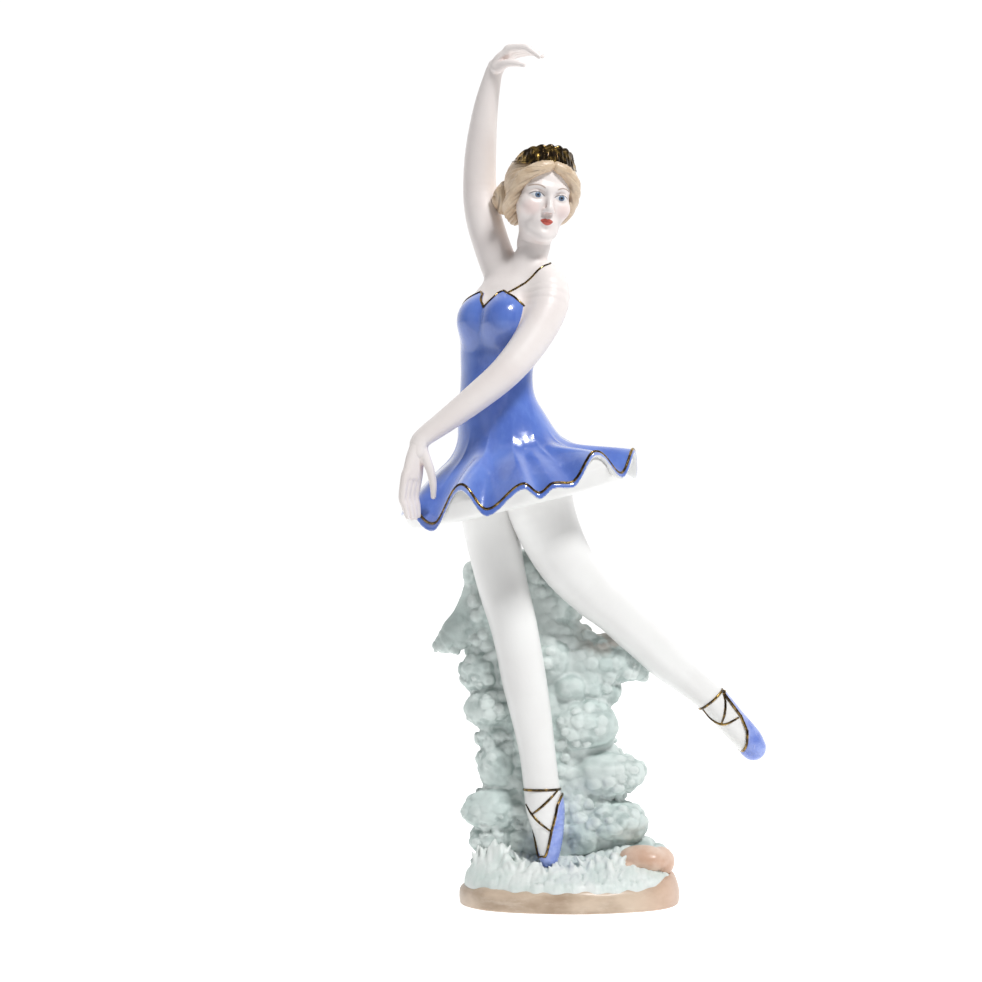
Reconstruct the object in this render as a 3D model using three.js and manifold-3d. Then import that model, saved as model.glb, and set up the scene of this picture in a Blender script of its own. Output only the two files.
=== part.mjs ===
// A porcelain ballet dancer, built as its maker builds it: slip-cast pieces luted together on an oval
// base. Millimetres, +Z up. The dancer looks towards -Y, and the origin is the middle of the base's flat
// underside.
import * as THREE from "three";
import { mergeVertices } from "three/addons/utils/BufferGeometryUtils.js";
import Module from "manifold-3d";

const wasm = await Module();
wasm.setup();

// ---- Driving dimensions ----

const SEAM = 0.3; // slip seam left between two luted pieces
const WALL = 2.4; // wall of the hollow casts
const SLIVER = 0.06; // edges shorter than this are closed up

const BASE_LENGTH = 77;
const BASE_DEPTH = 53;
const BASE_HEIGHT = 8;
const BASE_ROUND = 2.6; // rounding of the base's rim
const VENT_RADIUS = 2.5; // firing vent under the base
const VENT_PLACE = [16, 8];
const MOUND_RISE = 7.5; // grass mound above the base
const MOUND_MARGIN = 2.2; // how far the grass stops inside the base's rim
const STONE_LENGTH = 17;
const STONE_HEIGHT = 8;
const ROCK_HEIGHT = 118; // top of the rock above the ground
const ROCK_WIDTH = 58; // at the ground, above the base
const ROCK_DEPTH = 25;
const SPUR_REACH = 19;
const LEDGE_REACH = 22;
const SHELF_REACH = 16;

const FOOT_LENGTH = 25.5;
const SHIN_LENGTH = 51;
const THIGH_LENGTH = 51;
const HIP_HALF = 7.2;
const TRUNK_LENGTH = 29; // pelvis to waist
const RIBS_LENGTH = 24; // waist to bust
const YOKE_LENGTH = 13.5; // bust to shoulder line
const SHOULDER_HALF = 12;
const NECK_LENGTH = 13;
const HEAD_HEIGHT = 32;
const HEAD_WIDTH = 21.5;
const HEAD_DEPTH = 24.5;
const UPPER_ARM_LENGTH = 37.5;
const FOREARM_LENGTH = 38.5;
const HAND_LENGTH = 26;
const TORSO_TURN = 35; // degrees, chest turned to the dancer's right
const HEAD_TURN = 16; // degrees, face turned towards the raised leg
const HEAD_LEAN = 7;

const ANKLE_RADIUS = 5.5;
const CALF_RADIUS = 7.4;
const KNEE_RADIUS = 7.8;
const THIGH_RADIUS = 10.2;
const WAIST_HALF = 13;
const WRIST_RADIUS = 3.3;
const ELBOW_RADIUS = 4.9;
const ARM_RADIUS = 5.6;
const NECK_RADIUS = 5.9;
const SKIRT_RADIUS = 38.5;
const SKIRT_THICKNESS = 1.8;
const SKIRT_SLOPE = 0.24; // the hem rises towards +X by this share
const HEM_DROP = 8; // hem below the pelvis
const PETTICOAT_DROP = 5.5; // petticoat rim below the middle line of the hem
const BUST_RADIUS = 8.2;
const TIARA_RADIUS = 9.6;
const TIARA_HEIGHT = 4.2;
const BUN_RADIUS = 5.4;

// Hem turns, each as [degrees round from the front towards +X, height above the hem's middle line].
const HEM_TURNS = [
  [-72, -4.5], [-58, 4], [-44, -6], [-31, 5.5], [-16, -5.5], [2, 3], [12, -2.5], [20, 0.5],
  [28, -2.5], [40, 4.5], [61, -4.5], [79, 5], [98, -4], [114, 4], [131, -4.5], [148, 4],
  [165, -4.5], [183, 4.5], [201, -4.5], [218, 4], [236, -4.5], [252, 4],
];

// ---- Materials ----

const finish = (color, roughness, metalness = 0) =>
  new THREE.MeshStandardMaterial({ color, roughness, metalness });
const SKIN = finish(0xe9e0dc, 0.4);
const WHITE = finish(0xefefec, 0.35);
const BLUE = finish(0x5a7fd0, 0.12);
const LILAC = finish(0x8496d8, 0.3);
const HAIR = finish(0xd6b48c, 0.5);
const GOLD = finish(0x8a6a22, 0.18, 1);
const GREEN = finish(0xc3d2cb, 0.65);
const TAN = finish(0xc3a488, 0.55);

// ---- Small tools ----

const vec = (x, y, z) => new THREE.Vector3(x, y, z);
const turnZ = (v, degrees) => v.clone().applyAxisAngle(vec(0, 0, 1), THREE.MathUtils.degToRad(degrees));
const reach = (from, direction, length) => direction.clone().setLength(length).add(from);
const between = (a, b, share) => a.clone().lerp(b, share);
const moved = (a, dx, dy, dz) => a.clone().add(vec(dx, dy, dz));

// A closed three.js geometry as a solid.
function solidOf(geometry) {
  const bare = geometry.clone();
  bare.deleteAttribute("normal");
  bare.deleteAttribute("uv");
  const merged = mergeVertices(bare, 1e-3);
  return new wasm.Manifold(
    new wasm.Mesh({
      numProp: 3,
      vertProperties: merged.attributes.position.array,
      triVerts: new Uint32Array(merged.index.array),
    }),
  );
}

function geometryOf(solid) {
  const mesh = solid.getMesh();
  return new THREE.BufferGeometry()
    .setAttribute("position", new THREE.BufferAttribute(new Float32Array(mesh.vertProperties), 3))
    .setIndex(new THREE.BufferAttribute(new Uint32Array(mesh.triVerts), 1));
}

// A shape is a function of how far it is grown outwards, so that a neighbour can be cut with room for
// the seam.

// Elliptical rings carried along a smooth curve. Each station is [point, half width, half depth].
function limb(stations, wide, sides = 10, stepsPerSpan = 2) {
  const line = new THREE.CatmullRomCurve3(stations.map(([at]) => at));
  const sizes = new THREE.CatmullRomCurve3(stations.map(([, w, d = w]) => vec(w, d, 0)));
  return (grow = 0) => {
    const tube = new THREE.CylinderGeometry(1, 1, 1, sides, (stations.length - 1) * stepsPerSpan);
    const spots = tube.attributes.position;
    for (let i = 0; i < spots.count; i++) {
      const along = THREE.MathUtils.clamp(spots.getY(i) + 0.5, 0, 1);
      const size = sizes.getPoint(along);
      const forward = line.getTangent(along);
      const across = wide.clone().addScaledVector(forward, -wide.dot(forward)).normalize();
      const deep = across.clone().cross(forward);
      const end = along === 0 ? -grow : along === 1 ? grow : 0;
      const spot = line
        .getPoint(along)
        .addScaledVector(across, spots.getX(i) * (size.x + grow))
        .addScaledVector(deep, spots.getZ(i) * (size.y + grow))
        .addScaledVector(forward, end);
      spots.setXYZ(i, spot.x, spot.y, spot.z);
    }
    return solidOf(tube);
  };
}

// An ellipsoid with its own turn, in degrees about X, Y and Z.
function ball(at, radii, turn = [0, 0, 0], sides = 14, rings = 9) {
  return (grow = 0) => {
    const placed = new THREE.Matrix4().compose(
      at,
      new THREE.Quaternion().setFromEuler(new THREE.Euler(...turn.map(THREE.MathUtils.degToRad))),
      vec(...radii).addScalar(grow),
    );
    return solidOf(new THREE.SphereGeometry(1, sides, rings).rotateX(Math.PI / 2).applyMatrix4(placed));
  };
}

const joined = (...shapes) => (grow = 0) => shapes.map((shape) => shape(grow)).reduce((a, b) => a.add(b));
const without = (shape, cut) => (grow = 0) => shape(grow).subtract(cut(-grow));

// A box used to trim a shape: everything on the side of the plane that its normal points to.
function halfSpace(at, normal, size = 400) {
  return (grow = 0) => {
    const box = new THREE.BoxGeometry(size, size, size).translate(0, 0, size / 2 + -grow);
    const turn = new THREE.Quaternion().setFromUnitVectors(vec(0, 0, 1), normal.clone().normalize());
    return solidOf(box.applyQuaternion(turn).translate(at.x, at.y, at.z));
  };
}

// ---- The pose: joints of the body, chained from the toe that stands on the mound ----

const side = turnZ(vec(-1, 0, 0), -TORSO_TURN); // towards the dancer's right
const front = turnZ(vec(0, -1, 0), -TORSO_TURN);

const standToe = vec(-7, -10, BASE_HEIGHT + MOUND_RISE + 0.5);
const standAnkle = reach(standToe, vec(-2, 4, 25), FOOT_LENGTH);
const standKnee = reach(standAnkle, vec(-9, 4, 51), SHIN_LENGTH);
const standHip = reach(standKnee, vec(-10, 6, 49.5), THIGH_LENGTH);
const pelvis = standHip.clone().addScaledVector(side, -HIP_HALF).add(vec(0, 0, 9));
const freeHip = pelvis.clone().addScaledVector(side, -HIP_HALF).add(vec(0, 0, -9));
const freeKnee = reach(freeHip, vec(30.5, 6, -40.5), THIGH_LENGTH);
const freeAnkle = reach(freeKnee, vec(34, 15, -30.5), SHIN_LENGTH);
const freeToe = reach(freeAnkle, vec(16, 2, -21), FOOT_LENGTH);
const waist = reach(pelvis, vec(-3, 0, 29), TRUNK_LENGTH);
const bust = reach(waist, vec(2.8, 0, 24), RIBS_LENGTH);
const yoke = reach(bust, vec(5, 1, 12.5), YOKE_LENGTH);
const neckFoot = moved(yoke, 3.2, -0.3, 4.5);
const neckTop = reach(neckFoot, vec(3, -1, 13), NECK_LENGTH);
const headMiddle = moved(neckTop, 1, -1.5, HEAD_HEIGHT * 0.34);
const rightShoulder = yoke.clone().addScaledVector(side, SHOULDER_HALF).add(vec(0, 0, 1));
const leftShoulder = yoke.clone().addScaledVector(side, -SHOULDER_HALF);
const raisedElbow = reach(rightShoulder, vec(-3.6, 14, 33), UPPER_ARM_LENGTH);
const raisedWrist = reach(raisedElbow, vec(4.7, -16, 35), FOREARM_LENGTH);
const loweredElbow = reach(leftShoulder, vec(-16, -12, -33), UPPER_ARM_LENGTH);
const loweredWrist = reach(loweredElbow, vec(-29.6, -6.2, -23.4), FOREARM_LENGTH);

// ---- The body ----

const hips = limb(
  [
    [moved(pelvis, 0, 0, -15), 13.5, 10],
    [moved(pelvis, 0, 0, -6), 15.5, 12],
    [moved(pelvis, 0, 0, 4), 14.5, 11.5],
  ],
  side,
  12,
);

const legStations = (hip, knee, ankle) => [
  [moved(hip, 0, 0, 4), THIGH_RADIUS * 0.95],
  [between(hip, knee, 0.28), THIGH_RADIUS],
  [between(hip, knee, 0.65), (THIGH_RADIUS + KNEE_RADIUS) / 2],
  [knee, KNEE_RADIUS],
  [between(knee, ankle, 0.35), CALF_RADIUS],
  [between(knee, ankle, 0.72), (CALF_RADIUS + ANKLE_RADIUS) / 2],
  [ankle, ANKLE_RADIUS],
];
const instep = (ankle, toe, sole) => [
  [between(ankle, toe, 0.35).addScaledVector(sole, -1), ANKLE_RADIUS * 0.82],
  [between(ankle, toe, 0.72).addScaledVector(sole, -0.4), ANKLE_RADIUS * 0.58],
];
const standSole = vec(0.75, 0.6, 0.1); // towards the heel and sole of the standing foot
const freeSole = vec(0.72, 0.25, 0.62);
const standingLeg = limb(
  [...legStations(standHip, standKnee, standAnkle), ...instep(standAnkle, standToe, standSole)],
  vec(1, 0, 0),
);
const raisedLeg = limb(
  [...legStations(freeHip, freeKnee, freeAnkle), ...instep(freeAnkle, freeToe, freeSole)],
  vec(0, 1, 0),
);

// A slipper cups the heel, sole and toes. The instep stays bare.
const slipper = (ankle, toe, sole) =>
  limb(
    [
      [between(ankle, toe, 0.16).addScaledVector(sole, 4.2), ANKLE_RADIUS * 0.42],
      [between(ankle, toe, 0.4).addScaledVector(sole, 3), ANKLE_RADIUS * 0.62],
      [between(ankle, toe, 0.72).addScaledVector(sole, 1.2), ANKLE_RADIUS * 0.72],
      [between(ankle, toe, 0.9), ANKLE_RADIUS * 0.62],
      [toe, ANKLE_RADIUS * 0.4],
    ],
    vec(0, 1, 0.2),
  );
const standingSlipper = slipper(standAnkle, standToe, standSole);
const raisedSlipper = slipper(freeAnkle, freeToe, freeSole);

const breast = (towards) => {
  const middle = bust.clone().addScaledVector(side, towards * BUST_RADIUS * 0.85);
  middle.addScaledVector(front, WAIST_HALF * 0.5);
  return ball(middle, [BUST_RADIUS, BUST_RADIUS, BUST_RADIUS * 0.95]);
};
const bodice = without(
  joined(
    limb(
      [
        [moved(pelvis, 0, 0, 7), WAIST_HALF * 1.22, WAIST_HALF],
        [between(pelvis, waist, 0.62), WAIST_HALF * 1.08, WAIST_HALF * 0.84],
        [waist, WAIST_HALF, WAIST_HALF * 0.75],
        [between(waist, bust, 0.5), WAIST_HALF * 1.03, WAIST_HALF * 0.77],
        [bust, WAIST_HALF * 1.12, WAIST_HALF * 0.83],
        [between(bust, yoke, 0.4), WAIST_HALF * 1.06, WAIST_HALF * 0.74],
      ],
      side,
      14,
    ),
    breast(1),
    breast(-1),
  ),
  halfSpace(reach(bust, yoke.clone().sub(bust), YOKE_LENGTH * 0.33), vec(-0.25, 0.35, 1)),
);

const shoulders = joined(
  limb(
    [
      [between(bust, yoke, 0.1), WAIST_HALF * 1.04, WAIST_HALF * 0.74],
      [between(bust, yoke, 0.55), WAIST_HALF * 1.03, WAIST_HALF * 0.7],
      [yoke, SHOULDER_HALF * 0.98, WAIST_HALF * 0.56],
      [moved(neckFoot, 0, 0, -1), NECK_RADIUS * 1.2],
    ],
    side,
    12,
  ),
  limb(
    [
      [moved(neckFoot, 0, 0, -4), NECK_RADIUS * 1.15],
      [between(neckFoot, neckTop, 0.45), NECK_RADIUS * 0.95],
      [moved(neckTop, 0, 0, 2), NECK_RADIUS * 0.92],
    ],
    side,
    12,
  ),
);

const headTurn = [0, HEAD_LEAN, HEAD_TURN];
const headPart = (x, y, z) =>
  vec(x, y, z)
    .applyEuler(new THREE.Euler(...headTurn.map(THREE.MathUtils.degToRad)))
    .add(headMiddle);
const headBall = (x, y, z, radii, sides = 10, rings = 7) =>
  ball(headPart(x * HEAD_WIDTH, y * HEAD_DEPTH, z * HEAD_HEIGHT), radii, headTurn, sides, rings);
const eyelid = (towards) => headBall(towards * 0.2, -0.37, 0.02, [2.5, 1.9, 1.7], 8, 6);
const cheek = (towards) => headBall(towards * 0.2, -0.26, -0.14, [3.4, 3.6, 4], 8, 6);
const nose = limb(
  [
    [headPart(0, -0.42 * HEAD_DEPTH, 0.06 * HEAD_HEIGHT), 1.1],
    [headPart(0, -0.48 * HEAD_DEPTH, -0.07 * HEAD_HEIGHT), 1.2],
    [headPart(0, -0.5 * HEAD_DEPTH, -0.16 * HEAD_HEIGHT), 1.6],
  ],
  vec(1, 0, 0),
  6,
  1,
);
const head = joined(
  headBall(0, 0, 0.1, [HEAD_WIDTH * 0.48, HEAD_DEPTH * 0.47, HEAD_HEIGHT * 0.37], 16, 12),
  headBall(0, -0.12, -0.14, [HEAD_WIDTH * 0.36, HEAD_DEPTH * 0.33, HEAD_HEIGHT * 0.33], 14, 10),
  nose,
  eyelid(1),
  eyelid(-1),
  cheek(1),
  cheek(-1),
  headBall(0, -0.4, -0.28, [2.7, 1.3, 1.2], 8, 6),
  headBall(0, -0.34, -0.4, [2.8, 2.4, 2.2], 8, 6),
);
const hair = without(
  headBall(0, 0.06, 0.13, [HEAD_WIDTH * 0.55, HEAD_DEPTH * 0.52, HEAD_HEIGHT * 0.4], 18, 12),
  halfSpace(headPart(0, -HEAD_DEPTH * 0.2, HEAD_HEIGHT * 0.2), headPart(0, -1, -0.55).sub(headMiddle)),
);
const hairBun = ball(headPart(-HEAD_WIDTH * 0.3, HEAD_DEPTH * 0.5, -HEAD_HEIGHT * 0.02), [
  BUN_RADIUS,
  BUN_RADIUS,
  BUN_RADIUS * 1.15,
]);

// A crescent that stands on the hair and tapers to the temples.
const tiaraAt = (share) => {
  const swing = (share - 0.5) * Math.PI * 0.84;
  const rise = HEAD_HEIGHT * 0.36 + TIARA_HEIGHT * 0.5 * Math.cos(swing);
  const forward = HEAD_DEPTH * 0.04 - Math.cos(swing) * TIARA_RADIUS * 0.8;
  return headPart(Math.sin(swing) * TIARA_RADIUS, forward, rise);
};
const tiaraHalf = (share) => 0.8 + (TIARA_HEIGHT / 2 - 0.8) * Math.sin(share * Math.PI);
const tiaraShares = [0, 0.25, 0.5, 0.75, 1];
const tiara = limb(tiaraShares.map((share) => [tiaraAt(share), 1, tiaraHalf(share)]), vec(0, 1, 0), 8, 3);

const arm = (shoulder, elbow, wrist, inset) =>
  limb(
    [
      [shoulder.clone().add(inset), ARM_RADIUS * 0.9],
      [between(shoulder, elbow, 0.2), ARM_RADIUS * 1.08],
      [between(shoulder, elbow, 0.6), ARM_RADIUS],
      [elbow, ELBOW_RADIUS],
      [between(elbow, wrist, 0.3), ELBOW_RADIUS * 0.98],
      [between(elbow, wrist, 0.75), (ELBOW_RADIUS + WRIST_RADIUS) / 2],
      [wrist, WRIST_RADIUS],
    ],
    vec(0, 1, 0),
    10,
  );
const raisedArm = arm(rightShoulder, raisedElbow, raisedWrist, vec(1, -1, -6));
const loweredArm = arm(leftShoulder, loweredElbow, loweredWrist, vec(-2, 2, 3));
// A palm, four fingers side by side and a thumb. The bend lies between the knuckles and the tips.
const FINGER_SHARES = [0.94, 1, 0.96, 0.84];
function hand(wrist, knuckles, bend, tip, across, thumb) {
  const fingers = FINGER_SHARES.map((share, i) => {
    const off = (i - 1.5) * HAND_LENGTH * 0.075;
    const from = between(wrist, knuckles, 0.85).addScaledVector(across, off);
    const tipOff = between(bend, tip, share).addScaledVector(across, off * 0.8);
    const middle = bend.clone().addScaledVector(across, off * 0.95);
    return limb([[from, 1.35], [middle, 1.2], [tipOff, 0.85]], across, 7, 2);
  });
  const palm = limb(
    [
      [between(wrist, knuckles, -0.12), WRIST_RADIUS * 0.92, WRIST_RADIUS * 0.85],
      [between(wrist, knuckles, 0.5), HAND_LENGTH * 0.15, WRIST_RADIUS * 0.7],
      [knuckles, HAND_LENGTH * 0.155, WRIST_RADIUS * 0.5],
    ],
    across,
  );
  return joined(palm, ...fingers, limb(thumb, across, 7, 2));
}
const raisedHand = hand(
  raisedWrist,
  moved(raisedWrist, 5.5, -2, 8.3),
  moved(raisedWrist, 11.5, -5.5, 8.8),
  moved(raisedWrist, HAND_LENGTH * 0.62, -8, 6.3),
  vec(0.3, 0.9, -0.25).normalize(),
  [
    [moved(raisedWrist, 1.6, -2.4, 2.5), 1.7],
    [moved(raisedWrist, 6.5, -6, 4.2), 1.3],
    [moved(raisedWrist, 10.5, -8.5, 4.6), 0.9],
  ],
);
const loweredHand = hand(
  loweredWrist,
  moved(loweredWrist, -2.7, 0.5, -12),
  moved(loweredWrist, -3.9, 1.5, -19.5),
  moved(loweredWrist, -3.5, 2, -HAND_LENGTH),
  vec(0.75, 0.6, 0.1).normalize(),
  [
    [moved(loweredWrist, 0.8, 0.4, -3.5), 1.9],
    [moved(loweredWrist, 4, 1, -10), 1.4],
    [moved(loweredWrist, 5.1, 2, -HAND_LENGTH * 0.72), 0.95],
  ],
);

// ---- The skirt: a turned ring bent into flutes ----

// Height of the hem above its middle line, easing from each turn to the next.
function hemWave(degrees) {
  const turns = HEM_TURNS.length;
  for (let i = 0; i < turns; i++) {
    const [from, low] = HEM_TURNS[i];
    const [next, high] = HEM_TURNS[(i + 1) % turns];
    const span = (next - from + 360) % 360;
    const past = (degrees - from + 720) % 360;
    if (past < span) return low + ((high - low) * (1 - Math.cos((Math.PI * past) / span))) / 2;
  }
  return HEM_TURNS[0][1];
}

// Turns a profile of [radius, height] about the pelvis, then lifts each point by the flutes and the tilt.
function turned(profile, fluted, segments) {
  const points = profile.map(([r, z]) => new THREE.Vector2(r, z));
  const lathe = new THREE.LatheGeometry(points, segments).rotateX(Math.PI / 2);
  const spots = lathe.attributes.position;
  for (let i = 0; i < spots.count; i++) {
    const x = spots.getX(i);
    const y = spots.getY(i);
    const share = Math.min(Math.hypot(x, y) / SKIRT_RADIUS, 1.2);
    const wave = fluted ? hemWave(THREE.MathUtils.radToDeg(Math.atan2(x, -y))) * share ** 2.2 : 0;
    const stretched = x * (1 + 0.08 * share) + 4.5 * share;
    const height = spots.getZ(i) + wave + stretched * SKIRT_SLOPE * share;
    spots.setXYZ(i, stretched + pelvis.x, y * 0.9 + pelvis.y, height + pelvis.z);
  }
  return solidOf(lathe);
}

const hem = SKIRT_RADIUS;
const skirt = (grow = 0) => {
  const t = SKIRT_THICKNESS + grow;
  const inner = WAIST_HALF * 0.8 - grow;
  return turned(
    [
      [inner, 10 - t],
      [hem * 0.55, 3.5 - t],
      [hem * 0.8, -2 - t],
      [hem + grow * 0.6, -HEM_DROP - t * 0.7],
      [hem + grow, -HEM_DROP + grow],
      [hem * 0.8, -2 + grow],
      [hem * 0.55, 4.5 + grow],
      [WAIST_HALF * 1.22, 10.5 + grow],
      [WAIST_HALF * 1.05, 17 + grow],
      [inner, 17 + grow],
      [inner, 10 - t],
    ],
    true,
    80,
  );
};
const petticoat = (grow = 0) =>
  turned(
    [
      [0, -16 - grow],
      [hem * 0.45, -14 - grow],
      [hem * 0.95 + grow, -HEM_DROP - PETTICOAT_DROP - 1 - grow],
      [hem * 0.97 + grow, -HEM_DROP - PETTICOAT_DROP + 2 + grow],
      [hem * 0.93 + grow, -HEM_DROP + 6 + grow],
      [hem * 0.55, 4 + grow],
      [0, 8 + grow],
    ],
    false,
    36,
  );

// ---- Base, grass and rock ----

const turnedUp = (profile) => {
  const points = profile.map(([r, z]) => new THREE.Vector2(r, z));
  return new THREE.LatheGeometry(points, 40).rotateX(Math.PI / 2);
};

// An oval plate with a rounded rim, from z = low to z = high.
function oval(length, depth, low, high, round) {
  return (grow = 0) => {
    const across = length / 2 + grow;
    const profile = [
      [0, low - grow],
      [across - round * 0.5, low - grow],
      [across, low + round * 0.7],
      [across, high - round],
      [across - round, high + grow],
      [0, high + grow],
    ];
    return solidOf(turnedUp(profile).scale(1, (depth / 2 + grow) / across, 1));
  };
}

// A round hole from z = low to z = high.
const shaft = (x, y, low, high, radius) =>
  limb([[vec(x, y, low), radius], [vec(x, y, high), radius]], vec(1, 0, 0), 14, 1);

const baseSolid = oval(BASE_LENGTH, BASE_DEPTH, 0, BASE_HEIGHT, BASE_ROUND);
const rimInset = 2 * WALL + 6;
const baseCavity = oval(BASE_LENGTH - rimInset, BASE_DEPTH - rimInset, WALL, BASE_HEIGHT + 1, 0.5);
const vent = shaft(VENT_PLACE[0], VENT_PLACE[1], -1, WALL + 1, VENT_RADIUS);

const moundHalf = BASE_LENGTH / 2 - MOUND_MARGIN;
const moundFloor = BASE_HEIGHT + SEAM;
const moundRidge = [
  [moundHalf, 0],
  [moundHalf - 0.6, 1.3],
  [moundHalf * 0.7, MOUND_RISE * 0.55],
  [moundHalf * 0.35, MOUND_RISE],
];
const grassMound = (grow = 0) => {
  const ridge = moundRidge.map(([r, z]) => [r + grow, BASE_HEIGHT + Math.max(z, SEAM) + grow]);
  const edge = [moundHalf + grow, moundFloor - grow];
  const profile = [[0, moundFloor - grow], edge, ...ridge, [0, BASE_HEIGHT + MOUND_RISE + grow]];
  const halfDepth = BASE_DEPTH / 2 - MOUND_MARGIN;
  return solidOf(turnedUp(profile).scale(1, halfDepth / moundHalf, 1));
};
const throat = shaft(2, 8, BASE_HEIGHT - 1, BASE_HEIGHT + MOUND_RISE + 3, 5);

const sideStone = ball(
  vec(BASE_LENGTH / 2 - STONE_LENGTH * 0.6, -2, BASE_HEIGHT + STONE_HEIGHT * 0.62),
  [STONE_LENGTH / 2, STONE_LENGTH * 0.36, STONE_HEIGHT * 0.56],
  [0, 8, 0],
);

// The rock stands behind the standing leg. Each station is [share of its height, middle X, share of its
// width].
const rockBottom = BASE_HEIGHT + 2;
const ROCK_STATIONS = [
  [0, -0.5, 1.22], [0.15, -2, 1.04], [0.28, -6, 0.98], [0.45, -6, 0.84], [0.6, -9, 0.86],
  [0.76, -13, 0.84], [0.9, -17, 0.68], [1, -19, 0.45],
];
const rockBack = (share) => 7 + 3 * share;
const rockAt = (share, x, y) => vec(x, y, rockBottom + (ROCK_HEIGHT - rockBottom) * share);
const rockLine = (fill, inset) =>
  limb(
    ROCK_STATIONS.map(([share, x, wide]) => [
      rockAt(share, x, rockBack(share)),
      (ROCK_WIDTH / 2) * wide * fill - inset,
      (ROCK_DEPTH / 2) * (1 - 0.3 * share) * fill - inset,
    ]),
    vec(1, 0, 0),
    14,
    2,
  );

// Boulders in rows round the core, each row turned against the one below it.
const ROCK_ROWS = 8;
const ROW_BOULDERS = 6;
function rockStation(share) {
  const above = Math.max(1, ROCK_STATIONS.findIndex(([at]) => at >= share));
  const [lowAt, lowX, lowWide] = ROCK_STATIONS[above - 1];
  const [highAt, highX, highWide] = ROCK_STATIONS[above];
  const along = (share - lowAt) / (highAt - lowAt);
  return {
    x: THREE.MathUtils.lerp(lowX, highX, along),
    half: (ROCK_WIDTH / 2) * THREE.MathUtils.lerp(lowWide, highWide, along),
    deep: (ROCK_DEPTH / 2) * (1 - 0.3 * share),
  };
}
const boulders = Array.from({ length: ROCK_ROWS * ROW_BOULDERS }, (_, i) => {
  const row = Math.floor(i / ROW_BOULDERS);
  const share = 0.03 + (0.91 * (row + 0.3 * Math.sin(i * 1.7))) / (ROCK_ROWS - 1);
  const turn = (2 * Math.PI * (i + 0.5 * (row % 2))) / ROW_BOULDERS;
  const station = rockStation(THREE.MathUtils.clamp(share, 0, 1));
  const size = 7.2 + 1.6 * Math.sin(i * 2.3);
  const x = station.x + Math.cos(turn) * (station.half - size * 0.8);
  const y = rockBack(share) + Math.sin(turn) * (station.deep - size * 0.45);
  return ball(rockAt(share, x, y), [size * 1.1, size * 0.8, size * 0.95], [0, 0, i * 31], 9, 6);
});
const rockPillar = joined(rockLine(0.86, 0), ...boulders);
const rockMouth = shaft(-1.5, 7, rockBottom - 6, rockBottom + 8, 6);
const rockHollow = joined(rockLine(0.86, WALL * 2), rockMouth);

const spurRoot = rockAt(0.74, -29.5, 8.2);
const leftSpur = joined(
  limb(
    [
      [moved(spurRoot, -3, 0, 27), 4.5, 4],
      [moved(spurRoot, -4, 0, 15), 7, 6],
      [moved(spurRoot, -SPUR_REACH * 0.5, 0, 4), 7, 6.5],
      [moved(spurRoot, -SPUR_REACH, 0, 0), 2.8, 2.8],
    ],
    vec(0.4, 0, 1),
  ),
  ball(moved(spurRoot, -6, -1, -1), [11, 7, 6.5], [0, 0, 0], 10, 7),
  ball(moved(spurRoot, -10, 0.5, 6), [6.5, 6, 6], [0, 0, 15], 9, 6),
);
const ledgeRoot = moved(freeKnee, -8, 10, -15);
const rightLedge = joined(
  limb(
    [
      [moved(ledgeRoot, -9, -1, 4), 12, 8],
      [moved(ledgeRoot, 0, 0, 0), 12, 8.5],
      [moved(ledgeRoot, LEDGE_REACH * 0.55, 2, -3), 9, 7.5],
      [moved(ledgeRoot, LEDGE_REACH * 0.93, 3, -6), 3.4, 3.4],
    ],
    vec(0, 0, 1),
  ),
  ball(moved(ledgeRoot, LEDGE_REACH * 0.6, 1, 1), [7, 6, 6], [0, 0, 0], 9, 6),
  ball(moved(ledgeRoot, LEDGE_REACH * 0.2, -1, 5), [7, 6, 6], [0, 0, 0], 9, 6),
  ball(moved(ledgeRoot, LEDGE_REACH * 0.25, 0, -8), [8, 7, 7], [0, 0, 0], 9, 6),
);
const shelfRoot = rockAt(0.31, 14, 8);
const rightShelf = joined(
  ball(shelfRoot, [SHELF_REACH * 0.85, 9, 6], [0, -6, 0], 12, 8),
  ball(moved(shelfRoot, -4, -1, 7), [SHELF_REACH * 0.55, 8, 7], [0, 0, 0], 10, 7),
  ball(moved(shelfRoot, 4, -1, -14), [SHELF_REACH * 0.9, 9.5, 9], [0, 12, 0], 12, 8),
);

// ---- Assembly: each piece is cut back from the pieces before it by the seam ----

const dancer = new THREE.Group();
const placed = [];

function piece(name, material, shape, hollow) {
  const whole = hollow ? without(shape, hollow) : shape;
  let solid = whole(0);
  for (const earlier of placed) solid = solid.subtract(earlier(SEAM)).subtract(earlier(0));
  // Trimming can leave chips of the cast on the far side of a neighbour: the piece is its largest body.
  const clean = solid.asOriginal().setTolerance(SLIVER);
  const [largest] = clean.decompose().sort((a, b) => b.volume() - a.volume());
  const mesh = new THREE.Mesh(geometryOf(largest), material);
  mesh.name = name;
  dancer.add(mesh);
  placed.push(shape);
}

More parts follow.
